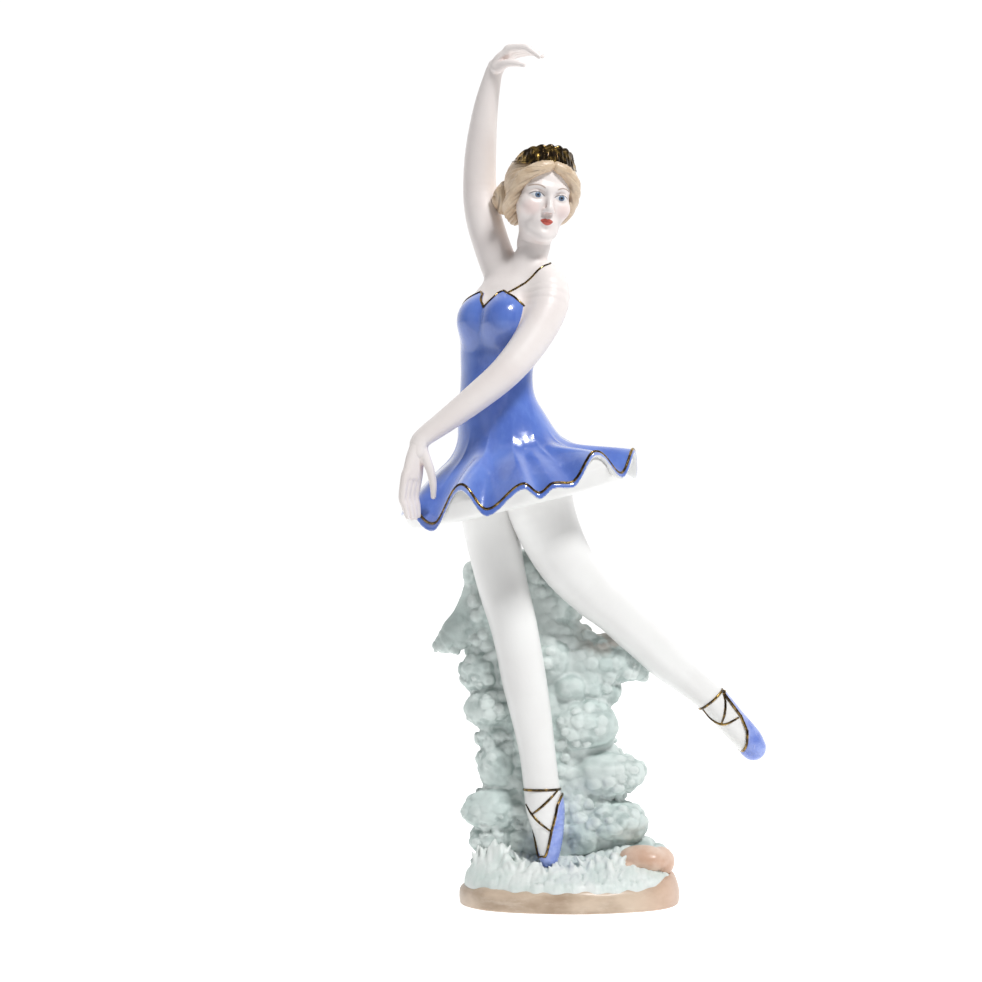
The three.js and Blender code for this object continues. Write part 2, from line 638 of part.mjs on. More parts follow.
piece("hips", WHITE, hips);
piece("standing_slipper", LILAC, standingSlipper);
piece("raised_slipper", LILAC, raisedSlipper);
piece("standing_leg", WHITE, standingLeg);
piece("raised_leg", WHITE, raisedLeg);
piece("bodice", BLUE, bodice);
piece("shoulders", SKIN, shoulders);
piece("head", SKIN, head);
piece("hair", HAIR, hair);
piece("hair_bun", HAIR, hairBun);
piece("tiara", GOLD, tiara);
piece("raised_arm", SKIN, raisedArm);
piece("raised_hand", SKIN, raisedHand);
piece("lowered_arm", SKIN, loweredArm);
piece("lowered_hand", SKIN, loweredHand);
piece("skirt", BLUE, skirt);
piece("petticoat", WHITE, petticoat);
piece("base_plinth", TAN, baseSolid, joined(baseCavity, vent));
piece("grass_mound", GREEN, grassMound, throat);
piece("side_stone", TAN, sideStone);
piece("rock_pillar", GREEN, rockPillar, rockHollow);
piece("rock_left_spur", GREEN, leftSpur);
piece("rock_right_ledge", GREEN, rightLedge);
piece("rock_right_shelf", GREEN, rightShelf);

export default dancer;
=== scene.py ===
"""A porcelain ballet dancer: every cast, its glaze and its gilding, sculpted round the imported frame."""

import math

import bpy
import numpy as np
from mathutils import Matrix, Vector


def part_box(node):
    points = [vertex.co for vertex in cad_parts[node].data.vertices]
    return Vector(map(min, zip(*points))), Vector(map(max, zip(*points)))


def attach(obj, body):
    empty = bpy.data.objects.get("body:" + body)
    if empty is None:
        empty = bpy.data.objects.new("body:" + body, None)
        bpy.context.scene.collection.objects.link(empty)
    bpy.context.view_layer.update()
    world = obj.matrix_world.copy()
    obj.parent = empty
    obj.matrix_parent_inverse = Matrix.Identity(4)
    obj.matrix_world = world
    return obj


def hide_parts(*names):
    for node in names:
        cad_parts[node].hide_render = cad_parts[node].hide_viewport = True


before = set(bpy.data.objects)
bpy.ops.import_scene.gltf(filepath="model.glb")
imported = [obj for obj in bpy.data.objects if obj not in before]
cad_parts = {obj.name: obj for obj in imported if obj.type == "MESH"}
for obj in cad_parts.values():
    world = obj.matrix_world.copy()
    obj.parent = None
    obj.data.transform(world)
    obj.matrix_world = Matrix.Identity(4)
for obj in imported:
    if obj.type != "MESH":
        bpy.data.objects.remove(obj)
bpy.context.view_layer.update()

bl_info = {
    "name": "Porcelain dancer",
    "version": (1, 0, 0),
    "blender": (4, 5, 0),
    "location": "3D View > Sidebar > Dancer",
    "description": "Sculpts a gilded porcelain dancer and the studio round it",
    "category": "Add Mesh",
}

MM = 0.001
CHUNK = 40000  # points worked out at once along a limb
WAVES = 5  # sine waves in a ripple
JITTER = 0.7  # how far a knob may stand from the middle of its cell, as a share of the cell
CRACK = 0.46  # where a knob's side ends in a crack: its distance squared over its spacing squared
HASH_PRIMES = np.array([374761393, 668265263, 2147483647])
HASH_SEED, HASH_STIR, HASH_TURN = 144665, 1274126177, 97


# ---- Clay: solids as distance functions, in millimetres ----


def spline(rows, steps):
    """A smooth line through rows of numbers, with so many steps from each row to the next."""
    rows = np.asarray(rows, float)
    padded = np.vstack([2 * rows[0] - rows[1], rows, 2 * rows[-1] - rows[-2]])
    t = np.linspace(0, 1, steps, endpoint=False)[:, None]
    out = []
    for a, b, c, d in zip(padded, padded[1:], padded[2:], padded[3:]):
        bend = (2 * a - 5 * b + 4 * c - d) * t**2 + (3 * b - a - 3 * c + d) * t**3
        out.append(0.5 * (2 * b + (c - a) * t + bend))
    return np.vstack([*out, rows[-1]])


def blend(a, b, k):
    """The union of two solids with a fillet about k wide."""
    h = np.clip(0.5 + 0.5 * (b - a) / k, 0, 1)
    return b * (1 - h) + a * h - k * h * (1 - h)


def carve(a, b, k):
    """Solid a without solid b, with the edge rounded over k."""
    return -blend(-a, b, k)


def overlap(a, b, k):
    """What solids a and b share, with the edge rounded over k."""
    return -blend(-a, -b, k)


def unit(v):
    v = np.asarray(v, float)
    return v / np.linalg.norm(v)


def oval_distance(x, y, z, rx, ry, rz):
    """About how far a point is outside an ellipsoid with these half sizes."""
    near = np.sqrt((x / rx) ** 2 + (y / ry) ** 2 + (z / rz) ** 2)
    slope = np.sqrt((x / rx**2) ** 2 + (y / ry**2) ** 2 + (z / rz**2) ** 2) + 1e-9
    return near * (near - 1) / slope


def egg(p, at, radii, axes=None):
    """An ellipsoid. axes holds its three directions as rows."""
    q = p - np.asarray(at, float)
    if axes is not None:
        q = q @ np.asarray(axes).T
    return oval_distance(q[:, 0], q[:, 1], q[:, 2], *radii)


def limb(p, stations, wide, steps=4):
    """A limb through stations of (x, y, z, half width, half depth). wide is the way of its width."""
    rows = spline([(*s, s[3]) if len(s) == 4 else s for s in stations], steps)
    start, size, swell = rows[:-1, :3], rows[:-1, 3:], np.diff(rows[:, 3:], axis=0)
    run = np.diff(rows[:, :3], axis=0)
    length = np.linalg.norm(run, axis=1, keepdims=True)
    way = np.gradient(rows[:, :3], axis=0)
    way /= np.linalg.norm(way, axis=1, keepdims=True)
    across = wide - way * (way @ wide)[:, None]
    across /= np.linalg.norm(across, axis=1, keepdims=True)
    frames = np.stack([across, np.cross(way, across), way], 1)
    turns = np.diff(frames, axis=0)
    middle = start + run / 2
    out = []
    for part in np.array_split(p, max(1, len(p) // CHUNK)):
        nearest = ((middle**2).sum(1) - 2 * part @ middle.T).argmin(1)
        best = np.full(len(part), 1e9)
        for shift in (-1, 0, 1):
            k = np.clip(nearest + shift, 0, len(run) - 1)
            v = part - start[k]
            share = np.clip((v * run[k]).sum(1) / length[k, 0] ** 2, 0, 1)
            half = size[k] + swell[k] * share[:, None]
            q = v - share[:, None] * run[k]
            parts = np.einsum("ij,ikj->ki", q, frames[k] + turns[k] * share[:, None, None])
            best = np.minimum(best, oval_distance(*parts, half[:, 0], half[:, 1], half.min(1)))
        out.append(best)
    return np.concatenate(out)


def grid_of(counts):
    """Every whole-numbered place in a box of so many places each way, as rows."""
    return np.stack(np.meshgrid(*[np.arange(n) for n in counts], indexing="ij"), -1).reshape(-1, 3)


def hashed(cells, seed):
    """Three fixed numbers from 0 to 1 for each whole-numbered cell."""
    key = cells @ HASH_PRIMES + seed * HASH_SEED
    out = []
    for turn in range(3):
        key = ((key ^ (key >> 13)) * HASH_STIR + turn * HASH_TURN) & 0x7FFFFFFF
        out.append((key % 65536) / 65535.0)
    return np.stack(out, 1)


def knobs(p, size, seed):
    """Rounded knobs about so far apart: 1 on the crown of one, 0 in the cracks."""
    cell = np.floor(p / size).astype(np.int64)
    low = cell.min(0) - 1
    count = cell.max(0) + 2 - low
    grid = grid_of(count) + low
    crown = (grid + (1 - JITTER) / 2 + JITTER * hashed(grid, seed)) * size
    index = ((cell - low) * (count[1] * count[2], count[2], 1)).sum(1)
    nearest = np.full(len(p), 9.0)
    for dx, dy, dz in grid_of((3, 3, 3)) - 1:
        away = crown[index + (dx * count[1] + dy) * count[2] + dz] - p
        nearest = np.minimum(nearest, (away * away).sum(1))
    return np.sqrt(np.clip(1 - nearest / (CRACK * size * size), 0, 1))


def ripple(p, size, seed):
    """Soft unevenness from -1 to 1."""
    turns = np.random.default_rng(seed).normal(size=(WAVES, 3))
    shifts = np.random.default_rng(seed + 1).uniform(0, 6.28, WAVES)
    return np.sin(p @ turns.T / size + shifts).mean(1) * 1.6


# ---- Casting: a distance function turned into a mesh of squares ----

BLOCK = 4  # voxels along a side of a block of the coarse grid that finds the surface
BLOCK_REACH = 1.55  # a block is worked out finely when the surface is within so many blocks of its middle
SETTLE = 0.9  # share of the way to the surface that a point moves at a time
EDGES = [(a, b) for a in range(8) for b in range(a + 1, 8) if bin(a ^ b).count("1") == 1]
CORNERS = np.array([[(c >> 2) & 1, (c >> 1) & 1, c & 1] for c in range(8)])


def slope_of(shape, p, reach):
    """The unit slope of a distance function."""
    taps = np.array([[1, -1, -1], [-1, -1, 1], [-1, 1, -1], [1, 1, 1]], float)
    g = sum(shape(p + reach * tap)[:, None] * tap for tap in taps)
    return g / (np.linalg.norm(g, axis=1, keepdims=True) + 1e-12)


def settled(shape, p, times, reach=0.2, most=np.inf):
    """Points near a surface, moved onto it."""
    for _ in range(times):
        pull = np.clip(shape(p), -most, most)
        p = p - slope_of(shape, p, reach) * pull[:, None] * SETTLE
    return p


def sampled(shape, low, high, voxel):
    """A solid's distances on a grid, worked out finely only where its surface is near."""
    wide = BLOCK * voxel
    blocks = np.ceil((high - low) / wide).astype(int) + 1
    at = grid_of(blocks)
    middle = shape(low + (at + 0.5 - 0.5 / BLOCK) * wide)
    values = middle.reshape(blocks)
    for axis in range(3):
        values = np.repeat(values, BLOCK, axis)
    near = at[np.abs(middle) < wide * BLOCK_REACH]
    spots = (near[:, None, :] * BLOCK + grid_of((BLOCK,) * 3)).reshape(-1, 3)
    values[tuple(spots.T)] = shape(low + spots * voxel)
    return values


def crossed_cells(values):
    """The grid's cells that the surface crosses, and the middle of its crossings in each, in voxels."""
    solid = values < 0
    inner = [n - 1 for n in values.shape]
    shifted = [solid[tuple(slice(c, c + n) for c, n in zip(corner, inner))] for corner in CORNERS]
    count = sum(part.astype(np.int8) for part in shifted)
    cells = np.argwhere((count > 0) & (count < 8))
    corner = [values[tuple((cells + c).T)] for c in CORNERS]
    total = np.zeros((len(cells), 3))
    crossings = np.zeros(len(cells))
    for a, b in EDGES:
        cross = (corner[a] < 0) != (corner[b] < 0)
        gap = np.where(cross, corner[a] - corner[b], 1)
        share = np.where(cross, corner[a] / gap, 0)
        total += cross[:, None] * (CORNERS[a] + share[:, None] * (CORNERS[b] - CORNERS[a]))
        crossings += cross
    return cells, cells + total / crossings[:, None]


def squares(solid, number):
    """A square round each grid edge that leaves the solid, from the numbers of the four cells there."""
    out = []
    for axis in range(3):
        sides = [(axis + 1) % 3, (axis + 2) % 3]
        here, there = [slice(None)] * 3, [slice(None)] * 3
        here[axis], there[axis] = slice(0, -1), slice(1, None)
        flips = np.argwhere(solid[tuple(here)] != solid[tuple(there)])
        place = flips[:, sides]
        flips = flips[((place > 0) & (place < np.array(number.shape)[sides])).all(1)]
        ring = []
        for shift in ((-1, -1), (0, -1), (0, 0), (-1, 0)):
            cell = flips.copy()
            cell[:, sides] += shift
            ring.append(number[tuple(cell.T)])
        ring = np.stack(ring, 1)
        outward = solid[tuple(flips.T)]
        ring[~outward] = ring[~outward][:, ::-1]
        out.append(ring)
    out = np.vstack(out)
    return out[(out >= 0).all(1)]


def cast(shape, low, high, voxel):
    """Vertices and squares of the surface where shape is zero, inside the box from low to high."""
    low, high = np.asarray(low, float), np.asarray(high, float)
    values = sampled(shape, low, high, voxel)
    cells, places = crossed_cells(values)
    number = np.full(np.array(values.shape) - 1, -1)
    number[tuple(cells.T)] = np.arange(len(cells))
    verts = settled(shape, low + places * voxel, 2, voxel * 0.3, voxel)
    return verts, squares(values < 0, number)


def tube(points, radius, closed=False, sides=8, flat=1.0):
    """A thin raised line along points. flat squashes it across its frame."""
    p = np.asarray(points, float)
    ahead = np.roll(p, -1, 0) - np.roll(p, 1, 0)
    if not closed:
        ahead[0], ahead[-1] = p[1] - p[0], p[-1] - p[-2]
    ahead /= np.linalg.norm(ahead, axis=1, keepdims=True) + 1e-12
    up = np.cross(ahead[0], unit([0.3, 0.2, 1]))
    rims = []
    r = np.broadcast_to(radius, len(p))
    for i, way in enumerate(ahead):
        up = up - way * np.dot(up, way)
        up /= np.linalg.norm(up)
        across = np.cross(way, up)
        turn = np.linspace(0, 2 * math.pi, sides, endpoint=False)[:, None]
        rims.append(p[i] + r[i] * (np.cos(turn) * up + np.sin(turn) * across * flat))
    verts = np.vstack(rims)
    n = len(p)
    faces = []
    for i in range(n if closed else n - 1):
        j = (i + 1) % n
        for k in range(sides):
            m = (k + 1) % sides
            faces.append((i * sides + k, i * sides + m, j * sides + m, j * sides + k))
    if not closed:
        faces.append(tuple(range(sides))[::-1])
        faces.append(tuple((n - 1) * sides + k for k in range(sides)))
    return verts, faces


def joined(parts):
    """Several (vertices, faces) as one."""
    verts, faces, base = [], [], 0
    for v, f in parts:
        verts.append(v)
        faces += [tuple(int(i) + base for i in face) for face in f]
        base += len(v)
    return np.vstack(verts), faces


def lay_from_front(shape, xz, start=-70.0, turn=1.0):
    """Where rays from the front, through points (x, z), meet a solid. turn -1 comes from the back."""
    xz = np.asarray(xz, float)
    p = np.stack([xz[:, 0], np.full(len(xz), start * turn), xz[:, 1]], 1)
    best, closest = p.copy(), np.full(len(p), 1e9)
    for _ in range(70):
        gap = shape(p)
        nearer = np.abs(gap) < closest
        best[nearer], closest[nearer] = p[nearer], np.abs(gap)[nearer]
        p[:, 1] += turn * np.clip(gap, -1, 4) * 0.8
    return settled(shape, best, 4)


def lay_round(shape, middles, ways, reach):
    """Where rays from middles along unit ways leave a solid."""
    low = np.zeros(len(middles))
    high = np.full(len(middles), float(reach))
    for _ in range(26):
        half = (low + high) / 2
        inside = shape(middles + ways * half[:, None]) < 0
        low = np.where(inside, half, low)
        high = np.where(inside, high, half)
    return middles + ways * low[:, None]


def piece(name, made, glaze, nodes=(), shape=None, marks=None, depth=1.2):
    """A finished piece from (vertices, faces) in mm. marks are more per-vertex values by name."""
    verts, faces = made
    mesh = bpy.data.meshes.new(name)
    mesh.from_pydata((verts * MM).tolist(), [], faces.tolist() if isinstance(faces, np.ndarray) else faces)
    mesh.update()
    mesh.polygons.foreach_set("use_smooth", np.ones(len(mesh.polygons), bool))
    values = dict(marks or {})
    if shape is not None:
        out = slope_of(shape, verts, 0.25)
        # cavity: how deep a vertex lies in a hollow; ridge: how far it stands out on an edge. The glazes
        # mostly turn these into painted shade in hollows and painted highlights on edges.
        values["cavity"] = np.clip(1 - shape(verts + out * depth) / depth, 0, 1)
        values["ridge"] = np.clip(1 + shape(verts - out * depth) / depth, 0, 1)
    for key, value in values.items():
        kind, field = ("FLOAT_VECTOR", "vector") if value.ndim == 2 else ("FLOAT", "value")
        mesh.attributes.new(key, kind, "POINT").data.foreach_set(field, value.astype(np.float32).ravel())
    mesh.materials.append(glaze)
    made_object = bpy.data.objects.new(name, mesh)
    bpy.context.scene.collection.objects.link(made_object)
    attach(made_object, "root")
    if nodes:
        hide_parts(*nodes)
    return made_object


# ---- The pose and the shapes of the casts ----

TURN = math.radians(35)
SIDE = np.array([-math.cos(TURN), math.sin(TURN), 0.0])  # towards the dancer's right
FRONT = np.array([-math.sin(TURN), -math.cos(TURN), 0.0])


def node_size(name):
    low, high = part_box(name)
    return (np.array(high) - np.array(low)) / MM


PLINTH_SIZE = node_size("base_plinth")
PLINTH_HEIGHT = PLINTH_SIZE[2]
PELVIS = np.array([-22.0, 0.0, 150.6])

TORSO = [
    (-22.4, 0, 148, 16.2, 14.0), (-23.4, 0, 160, 15.9, 13.4), (-24.3, 0, 168, 15.0, 12.6),
    (-25.0, 0, 176, 13.7, 11.2), (-25.1, 0, 184, 13.3, 10.4), (-24.4, 0, 191, 14.2, 11.0),
    (-23.1, 0.2, 199, 15.4, 11.7), (-21.8, 0.8, 207, 15.3, 11.1), (-19.9, 1, 213.5, 13.4, 9.2),
    (-17.0, 1, 218.5, 9.4, 7.2), (-14.2, 0.6, 223, 6.8, 6.7), (-12.1, 0.2, 228, 5.9, 6.3),
]
BREASTS = [(-31.6, -3.2, 202.6), (-22.6, -9.8, 202.2)]
RAISED_ARM = [
    (-20.0, 3.5, 211, 6.0), (-23.4, 6.4, 220, 6.5), (-27.0, 9, 230, 6.4), (-29.8, 11.5, 240, 6.3),
    (-31.0, 12.8, 250, 5.9), (-30.6, 11, 263, 5.4), (-28.9, 7.4, 277, 4.3), (-26.5, 4.2, 287.6, 3.15),
    (-25.2, 3.4, 291, 3.0),
]
LOWERED_ARM = [
    (-12.5, 0, 213.5, 6.3), (-7.8, -4, 214.8, 6.9), (-7.6, -9.5, 206.5, 6.8), (-13.2, -15, 195, 6.2),
    (-21.8, -20, 184.0, 5.5), (-32.4, -22.3, 174.8, 4.8), (-43, -23.6, 166.6, 3.9), (-50.6, -24, 160.8, 3.2),
    (-51.8, -24, 156.8, 3.1),
]


NECK_TOP, TORSO_FOOT = 232.5, 138  # heights at which the neck ends in the head and the trunk in the hips


def torso_at(p):
    rows = spline(TORSO, 12)
    x, y, wide, deep = (np.interp(p[:, 2], rows[:, 2], rows[:, i]) for i in (0, 1, 3, 4))
    q = p - np.stack([x, y, p[:, 2]], 1)
    body = oval_distance(q @ SIDE, q @ FRONT, 0, wide, deep, deep) * 0.88
    body = overlap(body, np.maximum(p[:, 2] - NECK_TOP, TORSO_FOOT - p[:, 2]), 3.0)
    bust = blend(egg(p, BREASTS[0], (6.9, 6.9, 7.2)), egg(p, BREASTS[1], (7.1, 7.1, 7.4)), 1.4)
    return blend(body, bust, 5.5)


# Height of the neckline by the angle away from the middle of the chest, in degrees.
NECKLINE = np.array([(0, 206.4), (9, 208.6), (20, 211.4), (32, 212.3), (48, 210.0), (66, 205.5), (90, 200.0),
                     (120, 196.6), (150, 195.4), (180, 195.0)])
CHEST = np.array([-22.2, 0.0, 0.0])


def neckline_height(p):
    q = p - CHEST
    angle = np.degrees(np.arctan2(q @ SIDE, q @ FRONT))
    return np.interp(np.abs(angle), NECKLINE[:, 0], NECKLINE[:, 1])


HEM_CENTRE = -17.3
HEM_HALF = (41.0, 35.0)
HEM_SLOPE = 0.24
HEM_DROP = 8.6
HEM_INSET = 0.75  # how far inside the hem's edge its gilding runs
# The hem's turns: [degrees round from the front towards +X, height above its middle line].
HEM_TURNS = np.array([
    (-90, 2.6), (-69, 3.4), (-46, -5.0), (-30, 6.6), (-15.2, -4.4), (1.3, 1.7), (9.8, -2.9), (16.1, -0.6),
    (25.4, -1.8), (38.8, 7.2), (59.4, -2.5), (76, 5.0), (95, -3.6), (113, 3.8), (131, -3.8), (149, 3.6),
    (166, -3.9), (183, 3.8), (201, -3.8), (218, 3.8), (236, -3.8), (253, 3.0),
])
SKIRT_FALL = np.array([(0.0, 24.0), (0.25, 20.5), (0.33, 16.0), (0.38, 11.6), (0.44, 8.2), (0.53, 5.3),
                       (0.64, 2.6), (0.76, -0.6), (0.88, -4.3), (1.0, -8.6), (1.2, -16.0)])


def hem_wave(degrees):
    """Height of the hem above its middle line, by degrees round from the front towards +X."""
    turns = np.vstack([HEM_TURNS[-1] - (360, 0), HEM_TURNS, HEM_TURNS[0] + (360, 0)])
    past = (degrees - HEM_TURNS[0, 0]) % 360 + HEM_TURNS[0, 0]
    i = np.clip(np.searchsorted(turns[:, 0], past, side="right") - 1, 0, len(turns) - 2)
    share = (past - turns[i, 0]) / (turns[i + 1, 0] - turns[i, 0])
    return turns[i, 1] + (turns[i + 1, 1] - turns[i, 1]) * (0.5 - 0.5 * np.cos(math.pi * share))


def skirt_place(x, y):
    """(share of the way to the hem, degrees round) of a point on the plan."""
    shift = HEM_CENTRE - PELVIS[0]
    share = np.hypot((x - PELVIS[0]) / HEM_HALF[0], y / HEM_HALF[1])
    for _ in range(4):
        share = np.hypot((x - PELVIS[0] - shift * share) / HEM_HALF[0], y / HEM_HALF[1])
    degrees = np.degrees(np.arctan2((x - PELVIS[0] - shift * share) / HEM_HALF[0], -y / HEM_HALF[1]))
    return share, degrees


def soft_fall(share):
    """The skirt's fall by share of the way to the hem, with its corners rounded off."""
    near = [np.interp(share + d, SKIRT_FALL[:, 0], SKIRT_FALL[:, 1]) for d in (-0.05, -0.025, 0, 0.025, 0.05)]
    return sum(near) / len(near)


def skirt_height(x, y):
    """(height of the skirt's outside, share of the way to the hem, its wave, its gather) over the plan."""
    share, degrees = skirt_place(x, y)
    swing = np.clip((share - 0.34) / 0.66, 0, 1.2) ** 1.5
    level = PELVIS[2] + soft_fall(share) + HEM_SLOPE * (x - PELVIS[0]) * share
    wave = hem_wave(degrees) * swing
    pleat = 1 - np.abs(np.sin(np.radians(degrees * 6.3 + 20 * np.sin(np.radians(degrees * 2)))))
    gather = 0.6 * pleat**3 * np.clip((share - 0.36) / 0.1, 0, 1) * np.clip((0.86 - share) / 0.3, 0, 1)
    return level + wave + gather, share, wave, gather


def skirt_at(p):
    top, share, _, _ = skirt_height(p[:, 0], p[:, 1])
    sheet = np.abs(p[:, 2] - top + 1.0) / 1.45 - 0.72
    return overlap(sheet, (share - 1) * 36, 0.9)


def dress_at(p):
    body = overlap(torso_at(p) - 0.1, p[:, 2] - neckline_height(p), 0.5)
    body = overlap(body, 150 - p[:, 2], 2.0)
    return blend(body, skirt_at(p), 5.0)


def petticoat_at(p):
    top, share, _, _ = skirt_height(p[:, 0], p[:, 1])
    rim = PELVIS[2] - HEM_DROP + HEM_SLOPE * (p[:, 0] - PELVIS[0]) - 6.6
    floor = rim + 6 * np.clip(1 - share, 0, 1)
    level = np.clip((p[:, 2] - rim) / 8.0, 0, 1)
    wall = (share - 0.8 - 0.175 * np.sqrt(level + 0.002)) * 30
    d = overlap((p[:, 2] - top + 1.6) / 1.45, wall, 1.2)
    return overlap(d, (floor - p[:, 2]) * 0.95, 2.4)


STANDING_LEG = [
    (-27.6, 4, 146, 9.6), (-27.4, 4, 133.2, 9.7), (-23.6, 1.6, 113, 8.8), (-19.8, -1.2, 99, 8.2),
    (-18, -2.4, 91, 7.9), (-15.6, -2.8, 78, 7.7), (-13.4, -3.4, 67, 7.1), (-11.2, -4.6, 54, 6.3),
    (-9.7, -5.8, 42, 6.2), (-8.6, -7.2, 34.5, 6.5), (-7.4, -8.6, 26, 4.9), (-7.2, -9.8, 19.5, 3.5),
    (-7.2, -10.2, 17, 2.8),
]
RAISED_LEG = [
    (-12, -4, 149, 12.4), (-9.0, -4, 134.8, 11.2), (-1.8, -2.4, 119.6, 9.8), (7.4, 0, 108.4, 8.3),
    (16.2, 2, 100.8, 7.4), (24.6, 5, 92.8, 7.2), (34, 8, 83.9, 6.6), (43, 10.4, 76.4, 5.6),
    (50.6, 12, 69.9, 5.2), (57.2, 13, 62.4, 4.9), (63, 13.8, 56, 4.7), (65.2, 14, 53, 4.1),
]
FREE_SOLE = unit([0.75, 0.15, 0.62])
STAND_SOLE = unit([0.78, 0.6, 0.06])


def standing_leg_at(p):
    return limb(p, STANDING_LEG, np.array([1.0, 0, 0]), 5)


def raised_leg_at(p):
    return limb(p, RAISED_LEG, np.array([0, 1.0, 0]), 5)


def slipper_at(p, leg_at, heel, toe, sole, reach):
    """The slipper's share of a foot. reach gives how far it comes round, by share of the foot's length."""
    run = np.asarray(toe, float) - heel
    along = (p - heel) @ run / np.dot(run, run)
    out = (p - heel - along[:, None] * run) @ sole
    edge = np.interp(along, [r[0] for r in reach], [r[1] for r in reach])
    shell = leg_at(p) - SLIPPER_WALL
    return overlap(shell, (edge - out) * 0.85, 0.35)


STAND_HEEL, STAND_TOE = np.array([-8.8, -6.8, 38.0]), np.array([-7.2, -10.2, 14.4])
FREE_HEEL, FREE_TOE = np.array([50.6, 12.0, 69.9]), np.array([66.6, 14.2, 50.6])
# How far a slipper comes round its foot: [share of the foot's length from the heel, mm towards the sole].
STAND_REACH = [
    (-0.3, 12), (-0.04, 9), (0.0, 4.6), (0.05, 2.3), (0.15, 0.2), (0.5, -1.9), (0.85, -3.0), (1.0, -9),
]
FREE_REACH = [
    (-0.3, 12), (-0.06, 8), (0.02, 4.1), (0.4, 3.6), (0.62, 1.7), (0.76, -1.4), (0.84, -4.5), (0.92, -12),
]
SLIPPER_WALL = 0.45  # thickness of a slipper over the foot


def standing_slipper_at(p):
    return slipper_at(p, standing_leg_at, STAND_HEEL, STAND_TOE, STAND_SOLE, STAND_REACH)


def raised_slipper_at(p):
    return slipper_at(p, raised_leg_at, FREE_HEEL, FREE_TOE, FREE_SOLE, FREE_REACH)


def skin_at(p):
    body = torso_at(p) + 0.35
    arm_a = limb(p, RAISED_ARM, np.array([0, 1.0, 0]))
    arm_b = limb(p, LOWERED_ARM, np.array([0, 0.3, 1.0]))
    near_b = np.clip((p[:, 2] - 196) / 10, 0.15, 1) * 3.6
    d = blend(body, arm_a, 4.2)
    return blend(d, arm_b, near_b)


def finger(p, points, across, off, spread, r):
    rows = [(*(np.asarray(q, float) + across * off * s), rad, rad) for q, s, rad in zip(points, spread, r)]
    return limb(p, rows, across, 4)


FINGER_SPREAD = [0.8, 1, 1, 0.95, 0.85]
FINGER_THICKNESS = [1.45, 1.5, 1.28, 1.12, 0.8]


def hand_at(p, wrist, palm, knuckle, bend, tip, across, thumb, curls):
    """A palm, four fingers side by side and a thumb. curls has each finger's length and dip."""
    across = unit(across)
    rows = [(*wrist, 3.0, 2.9), (*palm, 3.9, 2.3), (*knuckle, 4.1, 1.8)]
    d = limb(p, rows, across, 5)
    for i, (share, dip) in enumerate(curls):
        off = (i - 1.5) * 2.0
        end = np.asarray(bend) + (np.asarray(tip) - bend) * share + np.array([0, 0, -dip])
        middle = np.asarray(bend) + np.array([0, 0, -dip * 0.35])
        start = (np.asarray(palm) + 2 * np.asarray(knuckle)) / 3
        near = (middle + end) / 2 + np.array([0, 0, 0.25])
        points = [start, knuckle, middle, near, end]
        d = blend(d, finger(p, points, across, off, FINGER_SPREAD, FINGER_THICKNESS), 0.55)
    return blend(d, limb(p, [(*q, r, r) for q, r in thumb], across, 5), 0.9)


def raised_hand_at(p):
    return hand_at(
        p, (-26.3, 4.1, 288.4), (-23.6, 2.8, 293.0), (-19.8, 1.4, 296.0), (-14.6, -1.2, 296.3),
        (-9.4, -3.4, 293.6), (0.25, 0.93, -0.22),
        [((-25.0, 0.8, 290.2), 1.9), ((-21.6, -1.9, 291.4), 1.45), ((-18.4, -3.2, 291.3), 1.2),
         ((-15.8, -3.8, 290.6), 0.85)],
        [(0.92, 1.2), (1.0, 0.2), (0.97, -0.3), (0.82, -0.6)],
    )


def lowered_hand_at(p):
    return hand_at(
        p, (-50.9, -24, 160.4), (-52.6, -24, 154.6), (-53.9, -23.8, 148.4), (-54.9, -22.6, 141.6),
        (-53.3, -21.6, 134.2), (0.72, 0.66, 0.1),
        [((-50.4, -24.4, 157.0), 2.0), ((-47.9, -24.4, 151.2), 1.5), ((-46.7, -23.6, 145.8), 1.25),
         ((-46.6, -22.6, 141.4), 0.9)],
        [(0.9, 0.2), (1.0, 0.0), (0.97, 0.3), (0.82, 0.9)],
    )


# ---- The head, in its own directions: x to the dancer's left, y forward, z up ----

HEAD_SIZE = 1.09
HEAD_MIDDLE = np.array([-10.0, -0.6, 245.6])


def head_axes(turn=17.0, lean=7.0, nod=5.0):
    """The head's own directions as rows, from its turn, lean and nod in degrees."""
    a, b, c = (math.radians(v) for v in (turn, lean, nod))
    left = np.array([math.cos(a), math.sin(a), 0])
    ahead = np.array([math.sin(a), -math.cos(a), 0])
    up = np.array([0, 0, 1.0])
    ahead, up = ahead * math.cos(c) - up * math.sin(c), up * math.cos(c) + ahead * math.sin(c)
    left, up = left * math.cos(b) - up * math.sin(b), up * math.cos(b) + left * math.sin(b)
    return np.stack([left, ahead, up])


HEAD_AXES = head_axes()


def in_head(p):
    return (p - HEAD_MIDDLE) @ HEAD_AXES.T / HEAD_SIZE


def from_head(q):
    return np.asarray(q, float) @ HEAD_AXES * HEAD_SIZE + HEAD_MIDDLE


def both(q):
    """The same point on the other side of the face folded onto one side."""
    return np.concatenate([np.abs(q[:, :1]), q[:, 1:]], 1)


